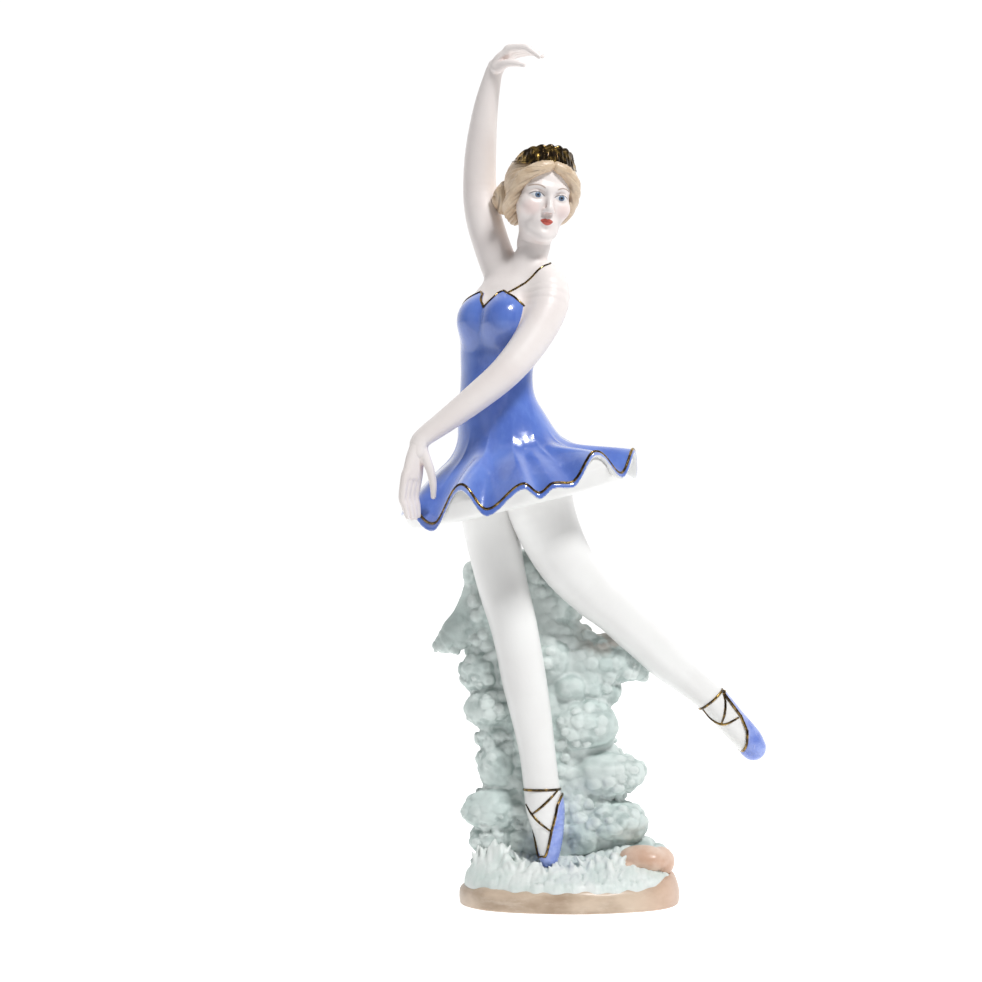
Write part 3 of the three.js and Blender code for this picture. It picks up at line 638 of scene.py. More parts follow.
def face_at(q):
    m = both(q)
    side = np.array([1.0, 0, 0])
    d = egg(q, (0, -1.5, 4.2), (10.2, 11.5, 10.6))
    d = blend(d, egg(q, (0, 2.6, -4.0), (7.5, 7.7, 10.2)), 3.5)
    d = blend(d, egg(m, (2.0, 5.4, -11.0), (3.2, 3.6, 3.0)), 2.4)
    d = blend(d, egg(q, (0, 8.1, -12.2), (2.7, 2.5, 2.3)), 1.8)
    d = blend(d, egg(m, (4.9, 6.6, -3.6), (3.2, 3.4, 3.0)), 2.6)
    d = blend(d, limb(m, [(0.8, 10.0, 2.0, 0.7), (3.6, 9.3, 2.5, 0.7), (6.2, 7.2, 2.0, 0.4)], side, 3), 2.2)
    d = carve(d, egg(m, (4.1, 11.3, -0.1), (2.5, 2.1, 1.6)), 1.5)
    d = blend(d, egg(m, (4.0, 7.6, -0.2), (2.5, 2.6, 1.9)), 0.5)
    d = blend(d, limb(q, [(0, 9.8, 2.4, 0.9), (0, 10.6, -0.8, 0.8), (0, 11.9, -3.9, 0.95)], side, 4), 1.4)
    d = blend(d, egg(q, (0, 11.9, -4.5), (1.1, 1.0, 0.95)), 0.8)
    d = blend(d, egg(m, (1.15, 10.8, -4.9), (0.75, 1.1, 0.65)), 0.7)
    d = blend(d, egg(q, (0, 7.9, -8.2), (3.6, 2.6, 2.6)), 1.6)
    d = carve(d, egg(q, (0, 11.0, -10.5), (1.8, 0.6, 0.4)), 1.0)
    upper = limb(m, [(0, 10.15, -7.9, 0.6), (0.8, 10.1, -7.75, 0.55), (2.1, 9.4, -8.1, 0.3)], side, 4)
    lower = limb(m, [(0, 10.05, -8.85, 0.72), (0.9, 9.85, -8.75, 0.6), (1.9, 9.3, -8.35, 0.3)], side, 4)
    return blend(blend(d, upper, 0.9), lower, 0.8)


def head_at(p):
    q = in_head(p)
    neck = limb(p, [(-12.6, 0.3, 224.5, 4.2), (-12.5, 0.4, 228.5, 5.6), (-11.4, 0.9, 233, 5.9),
                    (-10.2, 1.8, 239, 6.2)], SIDE)
    return blend(face_at(q) * HEAD_SIZE, neck, 2.6)


def hair_strands(q, pole=(0, 10.5, 7.5), bun=(-3.0, -11.5, -4.5)):
    axis = unit(np.asarray(bun, float) - pole)
    flat = unit(np.array([1.0, 0, 0]) - axis * axis[0])
    other = np.cross(axis, flat)
    v = q - pole
    angle = np.arctan2(v @ other, v @ flat)
    calm = np.clip(np.linalg.norm(np.cross(v, axis), axis=1) / 4 - 0.25, 0, 1)
    return calm * (np.sin(angle * 34 + 2.2 * np.sin(q[:, 2] * 0.35)) * 0.6 + np.sin(angle * 61 + 1) * 0.4)


# Where the hair begins at each side of the face: height, width.
HAIRLINE = np.array([(-20, 13), (-8, 10), (-3, 8.6), (2, 8), (4.5, 7), (6.6, 5), (8, 2.6), (9.2, -1.5)])


def hair_at_head(q):
    m = both(q)
    cap = egg(q, (0, -1.9, 3.4), (11.3, 12.5, 11.5))
    locks = limb(m, [(0.6, 9.4, 9.4, 1.7), (4.6, 9.2, 8.0, 2.1), (8.6, 6.2, 4.4, 2.2), (9.8, 2.4, -1.2, 2.1),
                     (8.8, -2.6, -5.4, 2.3), (5.0, -7.0, -7.6, 2.6)], np.array([0, 1.0, 0]), 4)
    opening = np.interp(q[:, 2], HAIRLINE[:, 0], HAIRLINE[:, 1])
    window = np.maximum(m[:, 0] - opening, 1.0 - q[:, 1])
    cap = carve(cap, window, 1.2)
    under = -(q[:, 2] + 6.2 + 0.28 * (q[:, 1] + 4))
    cap = overlap(cap, under, 1.5)
    d = blend(cap, locks, 1.3)
    parting = np.exp(-((q[:, 0] / 0.55) ** 2)) * np.clip((q[:, 1] + 2) / 6, 0, 1) * 0.45
    return d + parting - 0.13 * hair_strands(q)


def hair_at(p):
    return hair_at_head(in_head(p)) * HEAD_SIZE


def bun_at(p):
    q = in_head(p)
    v = q - np.array([-8.0, -8.4, -1.8])
    spiral = np.sin(np.arctan2(v[:, 2], v[:, 1]) * 2 + np.linalg.norm(v, axis=1) * 2.4 + v[:, 0] * 1.3)
    fine = np.sin(np.arctan2(v[:, 2], v[:, 1]) * 3 + v[:, 0] * 7)
    return (egg(q, (-8.0, -8.4, -1.8), (4.9, 5.0, 5.5)) - 0.22 * spiral - 0.07 * fine) * HEAD_SIZE


def tiara_mesh(columns=150, rows=22):
    """A band that stands on the hair, scalloped along its top, with raised scrolls on its face."""
    swing = np.linspace(-1, 1, columns)
    rise = np.linspace(0, 1, rows)
    u, v = np.meshgrid(swing, rise, indexing="ij")
    angle = np.radians(84) * u
    foot = 9.0 + 0.2 * u**2
    tall = 5.9 * np.clip(np.cos(u * math.pi / 2), 0, 1) ** 0.55 + 0.7
    scallop = 1 + 0.1 * np.abs(np.sin(u * math.pi * 4.5)) * np.clip(1.2 - np.abs(u), 0, 1)
    z = foot + tall * v * scallop
    shrink = 1 - 0.16 * v**1.3
    scroll = np.sin(u * math.pi * 9) * np.sin(v * math.pi * 2.0) + 0.6 * np.cos(u * math.pi * 18 + v * 5)
    rim = np.exp(-(((v - 0.93) / 0.08) ** 2)) + np.exp(-(((v - 0.07) / 0.08) ** 2))
    relief = 0.24 * np.clip(scroll, -0.4, 1) * np.sin(v * math.pi) + 0.3 * rim
    sheets = []
    for way, bump in ((1, relief), (-1, 0)):
        r = way * 0.62 + bump
        x = (10.1 * shrink + r) * np.sin(angle)
        y = -1.9 + (11.1 * shrink + r) * np.cos(angle)
        sheets.append(from_head(np.stack([x, y, z], -1).reshape(-1, 3)))
    verts = np.vstack(sheets)
    n = columns * rows
    faces = []
    for i in range(columns - 1):
        for j in range(rows - 1):
            a, b, c, d = i * rows + j, (i + 1) * rows + j, (i + 1) * rows + j + 1, i * rows + j + 1
            faces += [(a, d, c, b), (n + a, n + b, n + c, n + d)]
    for i in range(columns - 1):
        a, b = i * rows, (i + 1) * rows
        faces += [(a, b, n + b, n + a), (a + rows - 1, n + a + rows - 1, n + b + rows - 1, b + rows - 1)]
    for j in range(rows - 1):
        last = (columns - 1) * rows
        faces += [(j, n + j, n + j + 1, j + 1), (last + j, last + j + 1, n + last + j + 1, n + last + j)]
    return verts, faces


# ---- Ground and rock ----

# How far the body of the rock reaches to each side: height, left, right.
ROCK_SIDES = np.array([
    (0, -32, 31), (10, -32, 31), (15, -31.5, 30), (20, -31, 28), (24, -30, 25), (31, -32, 19), (38, -30, 18),
    (45, -27, 22), (50, -27, 16), (60, -27, 15), (66, -30, 12), (74, -32, 15), (80, -33, 19), (86, -34, 17),
    (91, -35, 10), (97, -34, 3), (104, -33, -1), (110, -31, -3), (118, -30, -4), (126, -28, -5),
])
ROCK_DEPTHS = np.array([(0, 14.5), (15, 11.5), (60, 9.5), (118, 7.4)])
ROCK_TOP = 121.5
ROCK_BACK = 10  # how far behind the middle of the base the rock's middle stands
# The boulders that stand out of it: middle and half sizes.
ROCK_MASSES = [
    (-31.0, 7.0, 79.0, 6.4, 6.5, 7.0), (-28.4, 5.6, 67.6, 7.6, 7.5, 7.0), (-27.2, 6.5, 57.6, 4.4, 5.5, 3.6),
    (-24.6, 6.0, 47.6, 7.4, 7.0, 9.0), (-25.8, 5.0, 32.8, 11.0, 9.0, 7.4), (-26.4, 5.5, 21.8, 7.4, 8.0, 4.6),
    (-4.6, 5.6, 84.6, 6.8, 7.0, 8.6), (0.4, 5.2, 75.4, 6.6, 7.0, 5.6), (5.6, 5.0, 61.6, 11.8, 8.6, 9.2),
    (13.2, 5.6, 44.8, 13.6, 8.6, 7.6), (15.4, 4.6, 27.4, 12.0, 9.6, 8.0), (5.6, 2.6, 22.4, 6.0, 7.0, 7.6),
    (22.4, 4.6, 15.0, 12.0, 9.5, 6.0), (-3.4, 8.4, 104, 5.6, 6.0, 9.0), (-34.2, 9.5, 114.2, 3.2, 4.4, 4.4),
    (-25.0, 8.5, 98.0, 9.4, 6.5, 11.0), (-12, 6.0, 60, 9, 7.0, 12.0), (-9, 5.5, 36, 8, 7.0, 9.0),
    (-16, 4.5, 22, 9, 7.0, 6.4),
]
SPUR = [(-32.6, 10, 111, 3.4, 4.0), (-35.8, 9.6, 101.5, 5.2, 4.8), (-39.4, 9.2, 93.6, 6.0, 5.4),
        (-45.6, 9.6, 89.8, 2.4, 3.2)]
LEDGE = [(6, 9, 84, 8.4, 7.4), (14, 8.4, 84.2, 7.6, 7.2), (20.5, 8.2, 81.6, 4.8, 5.6),
         (25.6, 8.4, 79.6, 1.8, 3.0)]
LEDGE_FOOT = [(8, 9, 76, 7.0, 6.6), (14.5, 8.6, 72.6, 3.6, 4.4)]


def rock_core(p):
    bent = p + np.stack([ripple(p, 6, 3), ripple(p, 7, 5), ripple(p, 6, 9)], 1) * 0.8
    x, y, z = bent.T
    left, right = (np.interp(z, ROCK_SIDES[:, 0], ROCK_SIDES[:, i]) for i in (1, 2))
    half = (right - left) / 2
    deep = np.interp(z, ROCK_DEPTHS[:, 0], ROCK_DEPTHS[:, 1])
    share = np.hypot((x - (left + right) / 2) / half, (y - ROCK_BACK) / deep)
    d = (share - 1) * np.minimum(half, deep) * 0.85
    d = overlap(d, z - ROCK_TOP, 4.0)
    for a, b, c, rx, ry, rz in ROCK_MASSES:
        d = blend(d, egg(bent, (a, b, c), (rx, ry, rz)), 1.3)
    for way in (SPUR, LEDGE, LEDGE_FOOT):
        d = blend(d, limb(bent, way, np.array([0.2, 0, 1.0]), 3), 2.4)
    return d


def rock_at(p):
    d = rock_core(p)
    smooth = np.clip((-33 - p[:, 0]) / 6, 0, 1) * np.clip((p[:, 2] - 86) / 6, 0, 1)
    rough = (1 - 0.85 * smooth) * np.clip(0.85 + 0.6 * ripple(p, 8, 21), 0.25, 1)  # the spur is smooth
    swirl = p * (1, 1, 1.15) + ripple(p, 4, 2)[:, None] * 0.6
    pebbles = knobs(swirl, 5.1, 4)
    grit = knobs(swirl + 31, 3.0, 8)
    return (d - rough * (2.2 * pebbles + 0.35 * grit) + 1.1) * 0.72


def ground_height(x, y):
    """(height of the ground, share of the way to the rim) over the plan."""
    half_x, half_y = PLINTH_SIZE[0] / 2, PLINTH_SIZE[1] / 2
    share = np.hypot(x / half_x, y / half_y)
    bowl = np.clip(1 - share, 0, 1)
    back = np.clip((y + 21) / 19, 0, 1) ** 1.6
    sides = np.exp(-((np.abs(x + 3) - 22) ** 2) / 90)
    lift = 5.6 * (1 - np.exp(-bowl * 5.0)) + back * (3.4 + 4.2 * sides) * np.clip(bowl * 6, 0, 1)
    return PLINTH_HEIGHT - 0.4 + lift, share


def mound_at(p, blades):
    top, share = ground_height(p[:, 0], p[:, 1])
    lean = p * (1, 0.35, 0.25)
    stroke = knobs(lean + ripple(p, 3, 14)[:, None] * 0.5, 1.9, 6) * 0.75 + ripple(p, 3.4, 17) * 0.35
    d = (p[:, 2] - top - stroke + 0.3) * 0.72
    d = overlap(d, (share - 0.955 - 0.012 * np.sin(p[:, 0] * 0.9)) * 26, 1.6)
    d = overlap(d, 6.5 - p[:, 2], 0.6)
    for rows in blades:
        x, y, z = rows[1][:3]
        near = (np.abs(p[:, 0] - x) < 6) & (np.abs(p[:, 1] - y) < 6) & (np.abs(p[:, 2] - z) < 8)
        if near.any():
            d[near] = blend(d[near], limb(p[near], rows, np.array([1.0, 0.3, 0]), 2), 1.1)
    return d


def grass_blades():
    """Tufts of short grass at the left and along the front, leaning a little outwards."""
    draw = np.random.default_rng(11)
    # Each tuft: place on the plan and number of blades.
    tufts = [(-28, -3, 8), (-26, -7, 10), (-22, -9, 11), (-18, -13, 9), (-13, -16, 8),
             (-7, -17, 6), (0, -15, 8), (7, -12, 9), (13, -13, 8), (17, -9, 5)]
    blades = []
    for x, y, count in tufts:
        for _ in range(count):
            bx, by = x + draw.normal() * 2.2, y + draw.normal() * 1.4
            foot = ground_height(np.array([bx]), np.array([by]))[0][0] - 1.2
            tall = draw.uniform(3.2, 5.4) * (1.25 if x < -19 else 0.85)
            lean = draw.normal() * 1.1
            blades.append([
                (bx, by, foot, 1.0, 0.8),
                (bx + lean * 0.3, by + 0.9, foot + tall * 0.55, 0.85, 0.7),
                (bx + lean, by + 2.2, foot + tall, 0.4, 0.35),
            ])
    return blades


def plinth_at(p):
    half_x, half_y = PLINTH_SIZE[0] / 2, PLINTH_SIZE[1] / 2
    wander = 0.35 * np.sin(p[:, 0] * 0.23 + 1) + 0.3 * np.sin(p[:, 1] * 0.31) + 0.22 * ripple(p, 4, 33)
    edge = (np.hypot(p[:, 0] / half_x, p[:, 1] / half_y) - 1) * 26.5
    bulge = 0.9 * ((p[:, 2] - 3.6) / 4.2) ** 2
    high = PLINTH_HEIGHT + 4.6 * np.clip((p[:, 0] - 24) / 12, 0, 1) ** 1.5 + 0.3 * np.sin(p[:, 0] * 0.4)
    d = overlap(edge + 0.1 + bulge * 0.5 - wander * 0.5, (p[:, 2] - high) * 0.95, 3.0)
    return overlap(d, 0.02 - p[:, 2], 1.0)


def stone_at(p):
    d = egg(p, (25.4, -5.2, 16.2), (8.6, 6.4, 5.0), [unit([1, -0.25, 0.06]), unit([0.25, 1, 0]), (0, 0, 1)])
    d = blend(d, egg(p, (31.4, -1.2, 14.6), (5.2, 6.6, 5.6)), 1.4)
    return blend(d, egg(p, (20.6, -8.0, 13.6), (3.6, 3.2, 2.6)), 0.7) - 0.3 * ripple(p, 2.2, 6) + 0.1


# ---- Glazes: shader sums written as sums ----


class Value:
    """A socket in a node tree. Sums and products of values make the Math nodes."""

    def __init__(self, paint, socket):
        self.paint = paint
        self.socket = socket

    def _math(self, operation, *parts):
        return self.paint.node("ShaderNodeMath", {"operation": operation}, dict(enumerate(parts)))

    def __add__(self, other):
        return self._math("ADD", self, other)

    def __radd__(self, other):
        return self._math("ADD", other, self)

    def __sub__(self, other):
        return self._math("SUBTRACT", self, other)

    def __rsub__(self, other):
        return self._math("SUBTRACT", other, self)

    def __mul__(self, other):
        return self._math("MULTIPLY", self, other)

    def __rmul__(self, other):
        return self._math("MULTIPLY", other, self)

    def __truediv__(self, other):
        return self._math("DIVIDE", self, other)

    def __rtruediv__(self, other):
        return self._math("DIVIDE", other, self)

    def __pow__(self, other):
        return self._math("POWER", self, other)

    def __rpow__(self, other):
        return self._math("POWER", other, self)

    def size(self):
        """Without its sign."""
        return self._math("ABSOLUTE", self)

    def step(self, low, high, start=0.0, end=1.0):
        """Changes smoothly from start at low to end at high."""
        settings = {"interpolation_type": "SMOOTHSTEP", "clamp": True}
        inputs = {"Value": self, "From Min": low, "From Max": high, "To Min": start, "To Max": end}
        return self.paint.node("ShaderNodeMapRange", settings, inputs)


class Paint:
    """A node tree that nodes are added to."""

    def __init__(self, tree):
        self.tree = tree

    def node(self, kind, settings=None, inputs=None, output=0):
        """A new node: its settings first, then the numbers or links of its sockets."""
        made = self.tree.nodes.new(kind)
        for key, value in (settings or {}).items():
            setattr(made, key, value)
        for key, value in (inputs or {}).items():
            self.feed(made.inputs[key], value)
        return Value(self, made.outputs[output])

    def feed(self, socket, value):
        if isinstance(value, Value):
            self.tree.links.new(value.socket, socket)
        elif socket.type == "RGBA":
            socket.default_value = (*value, 1)
        else:
            socket.default_value = value

    def parts(self, vector):
        """The x, y and z of a vector."""
        outputs = self.node("ShaderNodeSeparateXYZ", None, {0: vector}).socket.node.outputs
        return [Value(self, output) for output in outputs]


class Glaze(Paint):
    """A material that's built up from a few painted layers."""

    def __init__(self, name, **fixed):
        self.material = bpy.data.materials.new(name)
        self.material.use_nodes = True
        super().__init__(self.material.node_tree)
        self.shader = self.tree.nodes["Principled BSDF"]
        for key, value in fixed.items():
            self.shader.inputs[key.replace("_", " ")].default_value = value

    def place(self):
        return self.node("ShaderNodeTexCoord", None, None, "Object")

    def mark(self, name, part="Fac"):
        """A value stored on the mesh."""
        return self.node("ShaderNodeAttribute", {"attribute_name": name}, None, part)

    def noise(self, size_mm, detail=3.0, roughness=0.5, stretch=(1, 1, 1)):
        """Noise with features about size_mm across, from 0 to 1."""
        inputs = {0: self.place(), 1: tuple(1 / s for s in stretch)}
        scaled = self.node("ShaderNodeVectorMath", {"operation": "MULTIPLY"}, inputs)
        inputs = {"Vector": scaled, "Scale": 1 / (size_mm * MM), "Detail": detail, "Roughness": roughness}
        return self.node("ShaderNodeTexNoise", {"noise_dimensions": "3D"}, inputs)

    def mix(self, share, a, b):
        """Colour a with this share of colour b over it."""
        return self.node("ShaderNodeMix", {"data_type": "RGBA"}, {0: share, 6: a, 7: b}, 2)

    def finish(self, colour, rough, coat=0.0, relief=None, relief_mm=0.05):
        values = {"Base Color": colour, "Roughness": rough, "Coat Weight": coat}
        if relief is not None:
            inputs = {"Strength": 1.0, "Distance": relief_mm * MM, "Height": relief}
            values["Normal"] = self.node("ShaderNodeBump", None, inputs)
        for key, value in values.items():
            self.feed(self.shader.inputs[key], value)
        return self.material


def kept(glaze):
    """The material that a glaze function makes, made the first time only."""
    return bpy.data.materials.get(glaze.__name__) or glaze()


def paints():
    return bpy.context.scene.dancer_colours


def painted_face(g, colour):
    """Brows, eyes, lips and a little blush, laid out on the head's own directions."""
    x, y, z = g.parts(g.mark("face", "Vector"))
    side = x.size()
    front = y.step(3.0, 6.0)
    blush = 1 - (((side - 5.4) * 0.36) ** 2 + ((z + 4.4) * 0.4) ** 2).step(0.0, 1.6)
    colour = g.mix(blush * front * 0.3, colour, (0.86, 0.52, 0.46))
    across = (side - 4.0) / 2.3
    open_half = (1 - across * across) * 1.0
    lid = z + 0.25 - across * 0.1
    eye = (open_half * (0.9 + lid.step(-0.2, 0.2) * 0.1) - lid.size()).step(-0.05, 0.16) * front
    colour = g.mix(eye, colour, (0.74, 0.75, 0.78))
    off = (side - 3.95) * (side - 3.95) + lid * lid
    colour = g.mix(eye * (1 - off.step(0.75, 1.1)), colour, (0.09, 0.15, 0.25))
    colour = g.mix(eye * (1 - off.step(0.1, 0.2)), colour, (0.01, 0.012, 0.016))
    lash = (1 - (lid - open_half).size().step(0.06, 0.26)) * (1 - across.size().step(0.95, 1.15)) * front
    colour = g.mix(lash * lid.step(-0.5, 0.1) * 0.85, colour, (0.03, 0.022, 0.02))
    crease = z - 1.5 + across * across * 0.75
    fold = (1 - crease.size().step(0.02, 0.2)) * (1 - across.size().step(0.8, 1.1)) * front
    colour = g.mix(fold * 0.35, colour, (0.42, 0.26, 0.22))
    along = (side - 4.5) / 2.6
    arch = z - 2.85 + along * along * 0.85
    brow = (1 - arch.size().step(0.1, 0.32)) * (1 - along.size().step(0.8, 1.05)) * front
    colour = g.mix(brow * 0.7, colour, (0.3, 0.18, 0.11))
    bow = -7.45 - side * side * 0.14 + side.step(0.0, 0.6) * 0.2
    base = -9.45 + side * side * 0.27
    lips = (bow - z).step(-0.08, 0.16) * (z - base).step(-0.08, 0.16) * (1 - side.step(1.9, 2.25)) * front
    colour = g.mix(lips * 0.92, colour, (0.5, 0.045, 0.018))
    split = (1 - (z + 8.3 + side * side * 0.02).size().step(0.03, 0.2)) * lips
    colour = g.mix(split * 0.6, colour, (0.2, 0.015, 0.01))
    nostril = ((side - 0.85) * 1.5) ** 2 + ((z + 5.5) * 2.4) ** 2
    return g.mix((1 - nostril.step(0.1, 0.5)) * front * 0.35, colour, (0.45, 0.2, 0.15)), lips


def bisque(name, face=False):
    """Pale skin, satin, with the face painted on where the piece is the head."""
    g = Glaze(name, Specular_IOR_Level=0.5, Coat_Roughness=0.3, Coat_IOR=1.5)
    soft, fine, cavity = g.noise(14, 2), g.noise(1.1, 4, 0.6), g.mark("cavity")
    colour = g.mix(soft.step(0.35, 0.7), (0.83, 0.765, 0.745), paints().skin)
    colour = g.mix(fine.step(0.55, 0.8) * 0.12, colour, (0.72, 0.66, 0.62))
    # Painted shade: a pinkish grey laid into the creases and hollows of the skin.
    colour = g.mix(cavity.step(0.1, 0.7) * 0.5, colour, (0.62, 0.47, 0.42))
    rough = 0.44 + (fine - 0.5) * 0.12
    if face:
        colour, lips = painted_face(g, colour)
        rough = rough - lips * 0.18
    return g.finish(colour, rough, 0.1, fine + g.noise(5, 2) * 2, 0.03)


def white_porcelain():
    g = Glaze("white_porcelain", Specular_IOR_Level=0.5, Coat_Roughness=0.22, Coat_IOR=1.5)
    soft, fine, cavity = g.noise(16, 2), g.noise(0.9, 4, 0.6), g.mark("cavity")
    colour = g.mix(soft.step(0.3, 0.7), (0.82, 0.815, 0.805), paints().tights)
    colour = g.mix(fine.step(0.58, 0.8) * 0.1, colour, (0.72, 0.71, 0.69))
    # Painted shade: a grey laid into the creases and hollows of the tights and petticoat.
    colour = g.mix(cavity.step(0.05, 0.7) * 0.4, colour, (0.6, 0.59, 0.56))
    return g.finish(colour, 0.34 + (fine - 0.5) * 0.12, 0.3, fine + g.noise(6, 2) * 2, 0.03)


def blue_glaze():
    """Cobalt glaze: paler on the ridges of the flutes, partly thin glaze and partly painted highlight, and
    darker between them and in hollows, partly pooled glaze and partly painted shade.
    """
    g = Glaze("blue_glaze", Specular_IOR_Level=0.55, Coat_Roughness=0.04, Coat_IOR=1.52)
    wash, streak, fine = g.noise(11, 3), g.noise(2.4, 3, 0.6, (1, 1, 4)), g.noise(0.5, 3, 0.6)
    crest, trough, cavity, under = g.mark("crest"), g.mark("trough"), g.mark("cavity"), g.mark("under")
    colour = g.mix(wash.step(0.3, 0.72), paints().dress, (0.14, 0.248, 0.7))
    colour = g.mix(streak.step(0.45, 0.75) * 0.25, colour, (0.2, 0.32, 0.76))
    # Partly pooled glaze, partly painted shade: darker in the valleys between the flutes.
    colour = g.mix(trough.step(0.1, 0.8) * 0.35, colour, (0.085, 0.15, 0.55))
    # Partly pooled glaze, partly painted shade: much darker in the hollows.
    colour = g.mix(cavity.step(0.06, 0.5) * 0.5, colour, (0.05, 0.085, 0.34))
    # Partly thin glaze, partly painted highlight: paler on the crests of the flutes and on the gathers.
    thin = (crest + (fine - 0.5) * 0.2).step(0.25, 0.85)
    colour = g.mix(thin * 0.5, colour, (0.4, 0.5, 0.87))
    pale = g.mix(g.noise(9, 2).step(0.3, 0.7), (0.72, 0.73, 0.74), (0.82, 0.82, 0.81))
    colour = g.mix(under, colour, pale)
    rough = 0.2 + (fine - 0.5) * 0.1 + under * 0.12
    return g.finish(colour, rough, 0.9 - under * 0.6, g.noise(4, 2) * 2 + fine * 0.2, 0.06)


def slipper_glaze():
    g = Glaze("slipper_glaze", Specular_IOR_Level=0.5, Coat_Roughness=0.08, Coat_IOR=1.5)
    wash, streak = g.noise(4, 3), g.noise(0.9, 3, 0.6, (1, 1, 3))
    colour = g.mix(wash.step(0.3, 0.7), paints().slippers, (0.3, 0.39, 0.8))
    colour = g.mix(streak.step(0.5, 0.8) * 0.4, colour, (0.45, 0.52, 0.86))
    # Paler on the raised edges: partly thin glaze, partly painted highlight.
    colour = g.mix(g.mark("ridge").step(0.1, 0.5) * 0.4, colour, (0.5, 0.56, 0.86))
    return g.finish(colour, 0.24 + (streak - 0.5) * 0.15, 0.7, streak, 0.03)


def hair_glaze():
    g = Glaze("hair_glaze", Specular_IOR_Level=0.5, Coat_Roughness=0.3)
    wash, strand, cavity = g.noise(4.5, 3), g.noise(0.8, 3, 0.6, (1, 3, 1)), g.mark("cavity")
    colour = g.mix(wash.step(0.3, 0.7), (0.6, 0.44, 0.29), paints().hair)
    # Painted highlight on the raised locks.
    colour = g.mix(g.mark("ridge").step(0.06, 0.4) * 0.5, colour, (0.76, 0.62, 0.45))
    # Painted shade: dark brown in the grooves between the locks.
    colour = g.mix(cavity.step(0.05, 0.5) * 0.75, colour, (0.2, 0.125, 0.075))
    colour = g.mix(strand.step(0.5, 0.8) * 0.3, colour, (0.36, 0.25, 0.16))
    return g.finish(colour, 0.38 + (strand - 0.5) * 0.2, 0.25, strand, 0.06)


def burnished_gold():
    """Liquid gold over glaze: mirror bright metal, with painted reflections: dark patches in its colour stand
    for the room it mirrors, and bright patches and flecks are painted glints.
    """
    g = Glaze("burnished_gold", Metallic=1.0, Coat_Roughness=0.05)
    patch, fine = g.noise(2.6, 3, 0.6), g.noise(0.35, 2)
    # Painted reflection and painted highlight: patches of dark room reflection and of gold catching the
    # light.
    colour = g.mix(patch.step(0.44, 0.7), (0.05, 0.03, 0.014), paints().gold)
    # Painted glints: small bright flecks.
    colour = g.mix(fine.step(0.6, 0.85) * 0.35, colour, (0.78, 0.56, 0.2))
    return g.finish(colour, 0.16 + fine * 0.16, 0.4, patch + fine * 0.3, 0.05)


def rock_wash():
    """Matte celadon: paler on the knobs as a painted highlight, and darker in the cracks as painted shade."""
    g = Glaze("rock_wash", Specular_IOR_Level=0.35, Coat_Roughness=0.4)
    wash, grain, cavity, ridge = g.noise(18, 3), g.noise(0.8, 5, 0.65), g.mark("cavity"), g.mark("ridge")
    colour = g.mix(wash.step(0.35, 0.65), (0.57, 0.665, 0.64), paints().rock)
    # Painted shade: darker in the cracks.
    colour = g.mix(cavity.step(0.05, 0.6) * 0.66, colour, (0.28, 0.35, 0.335))
    # Painted highlight: paler on the knobs.
    colour = g.mix(ridge.step(0.12, 0.6) * 0.5, colour, (0.79, 0.84, 0.82))
    x, y, z = g.parts(g.place())
    tan = x.step(0.0, 0.012) * z.step(0.084, 0.09) * g.noise(6, 3).step(0.42, 0.6)
    colour = g.mix(tan * 0.5, colour, (0.42, 0.3, 0.24))
    colour = g.mix(grain.step(0.55, 0.85) * 0.18, colour, (0.42, 0.5, 0.47))
    return g.finish(colour, 0.58 + (grain - 0.5) * 0.2, 0.12, grain + g.noise(3, 3) * 1.5, 0.09)


def grass_wash():
    g = Glaze("grass_wash", Specular_IOR_Level=0.4, Coat_Roughness=0.35)
    wash, grain, cavity = g.noise(9, 3), g.noise(0.9, 4, 0.6, (1, 1, 3)), g.mark("cavity")
    colour = g.mix(wash.step(0.3, 0.7), (0.63, 0.71, 0.68), paints().grass)
    # Painted shade: darker in the hollows between the strokes.
    colour = g.mix(cavity.step(0.1, 0.7) * 0.6, colour, (0.42, 0.5, 0.47))
    # Painted highlight: paler on the raised strokes.
    colour = g.mix(g.mark("ridge").step(0.1, 0.6) * 0.5, colour, (0.8, 0.82, 0.8))
    colour = g.mix(grain.step(0.5, 0.8) * 0.2, colour, (0.47, 0.56, 0.5))
    return g.finish(colour, 0.5 + (grain - 0.5) * 0.2, 0.15, grain, 0.08)


def tan_wash():
    """Brown stain brushed round the rim, uneven where the brush ran dry."""
    g = Glaze("tan_wash", Specular_IOR_Level=0.45, Coat_Roughness=0.25)
    wash, brush = g.noise(11, 4, 0.55, (1.6, 1.6, 0.8)), g.noise(2.2, 4, 0.6, (3, 3, 1))
    grain = g.noise(0.7, 4)
    colour = g.mix(wash.step(0.32, 0.68), (0.4, 0.29, 0.2), paints().rim)
    colour = g.mix(brush.step(0.5, 0.75) * 0.45, colour, (0.74, 0.64, 0.53))
    # Painted shade: darker brown in the hollows.
    colour = g.mix(g.mark("cavity").step(0.1, 0.6) * 0.6, colour, (0.3, 0.2, 0.13))
    x, y, z = g.parts(g.place())
    colour = g.mix(x.step(0.018, 0.036) * 0.5, colour, (0.62, 0.38, 0.27))
    return g.finish(colour, 0.42 + (grain - 0.5) * 0.2, 0.3, brush + grain * 0.4, 0.08)


def peach_wash():
    g = Glaze("peach_wash", Specular_IOR_Level=0.45, Coat_Roughness=0.25)
    wash, grain = g.noise(6, 3), g.noise(0.8, 4)
    colour = g.mix(wash.step(0.3, 0.7), (0.6, 0.38, 0.27), paints().stone)
    # Painted shade: darker in the hollows of the stone.
    colour = g.mix(g.mark("cavity").step(0.1, 0.7) * 0.6, colour, (0.36, 0.22, 0.15))
    return g.finish(colour, 0.42 + (grain - 0.5) * 0.2, 0.35, grain, 0.06)


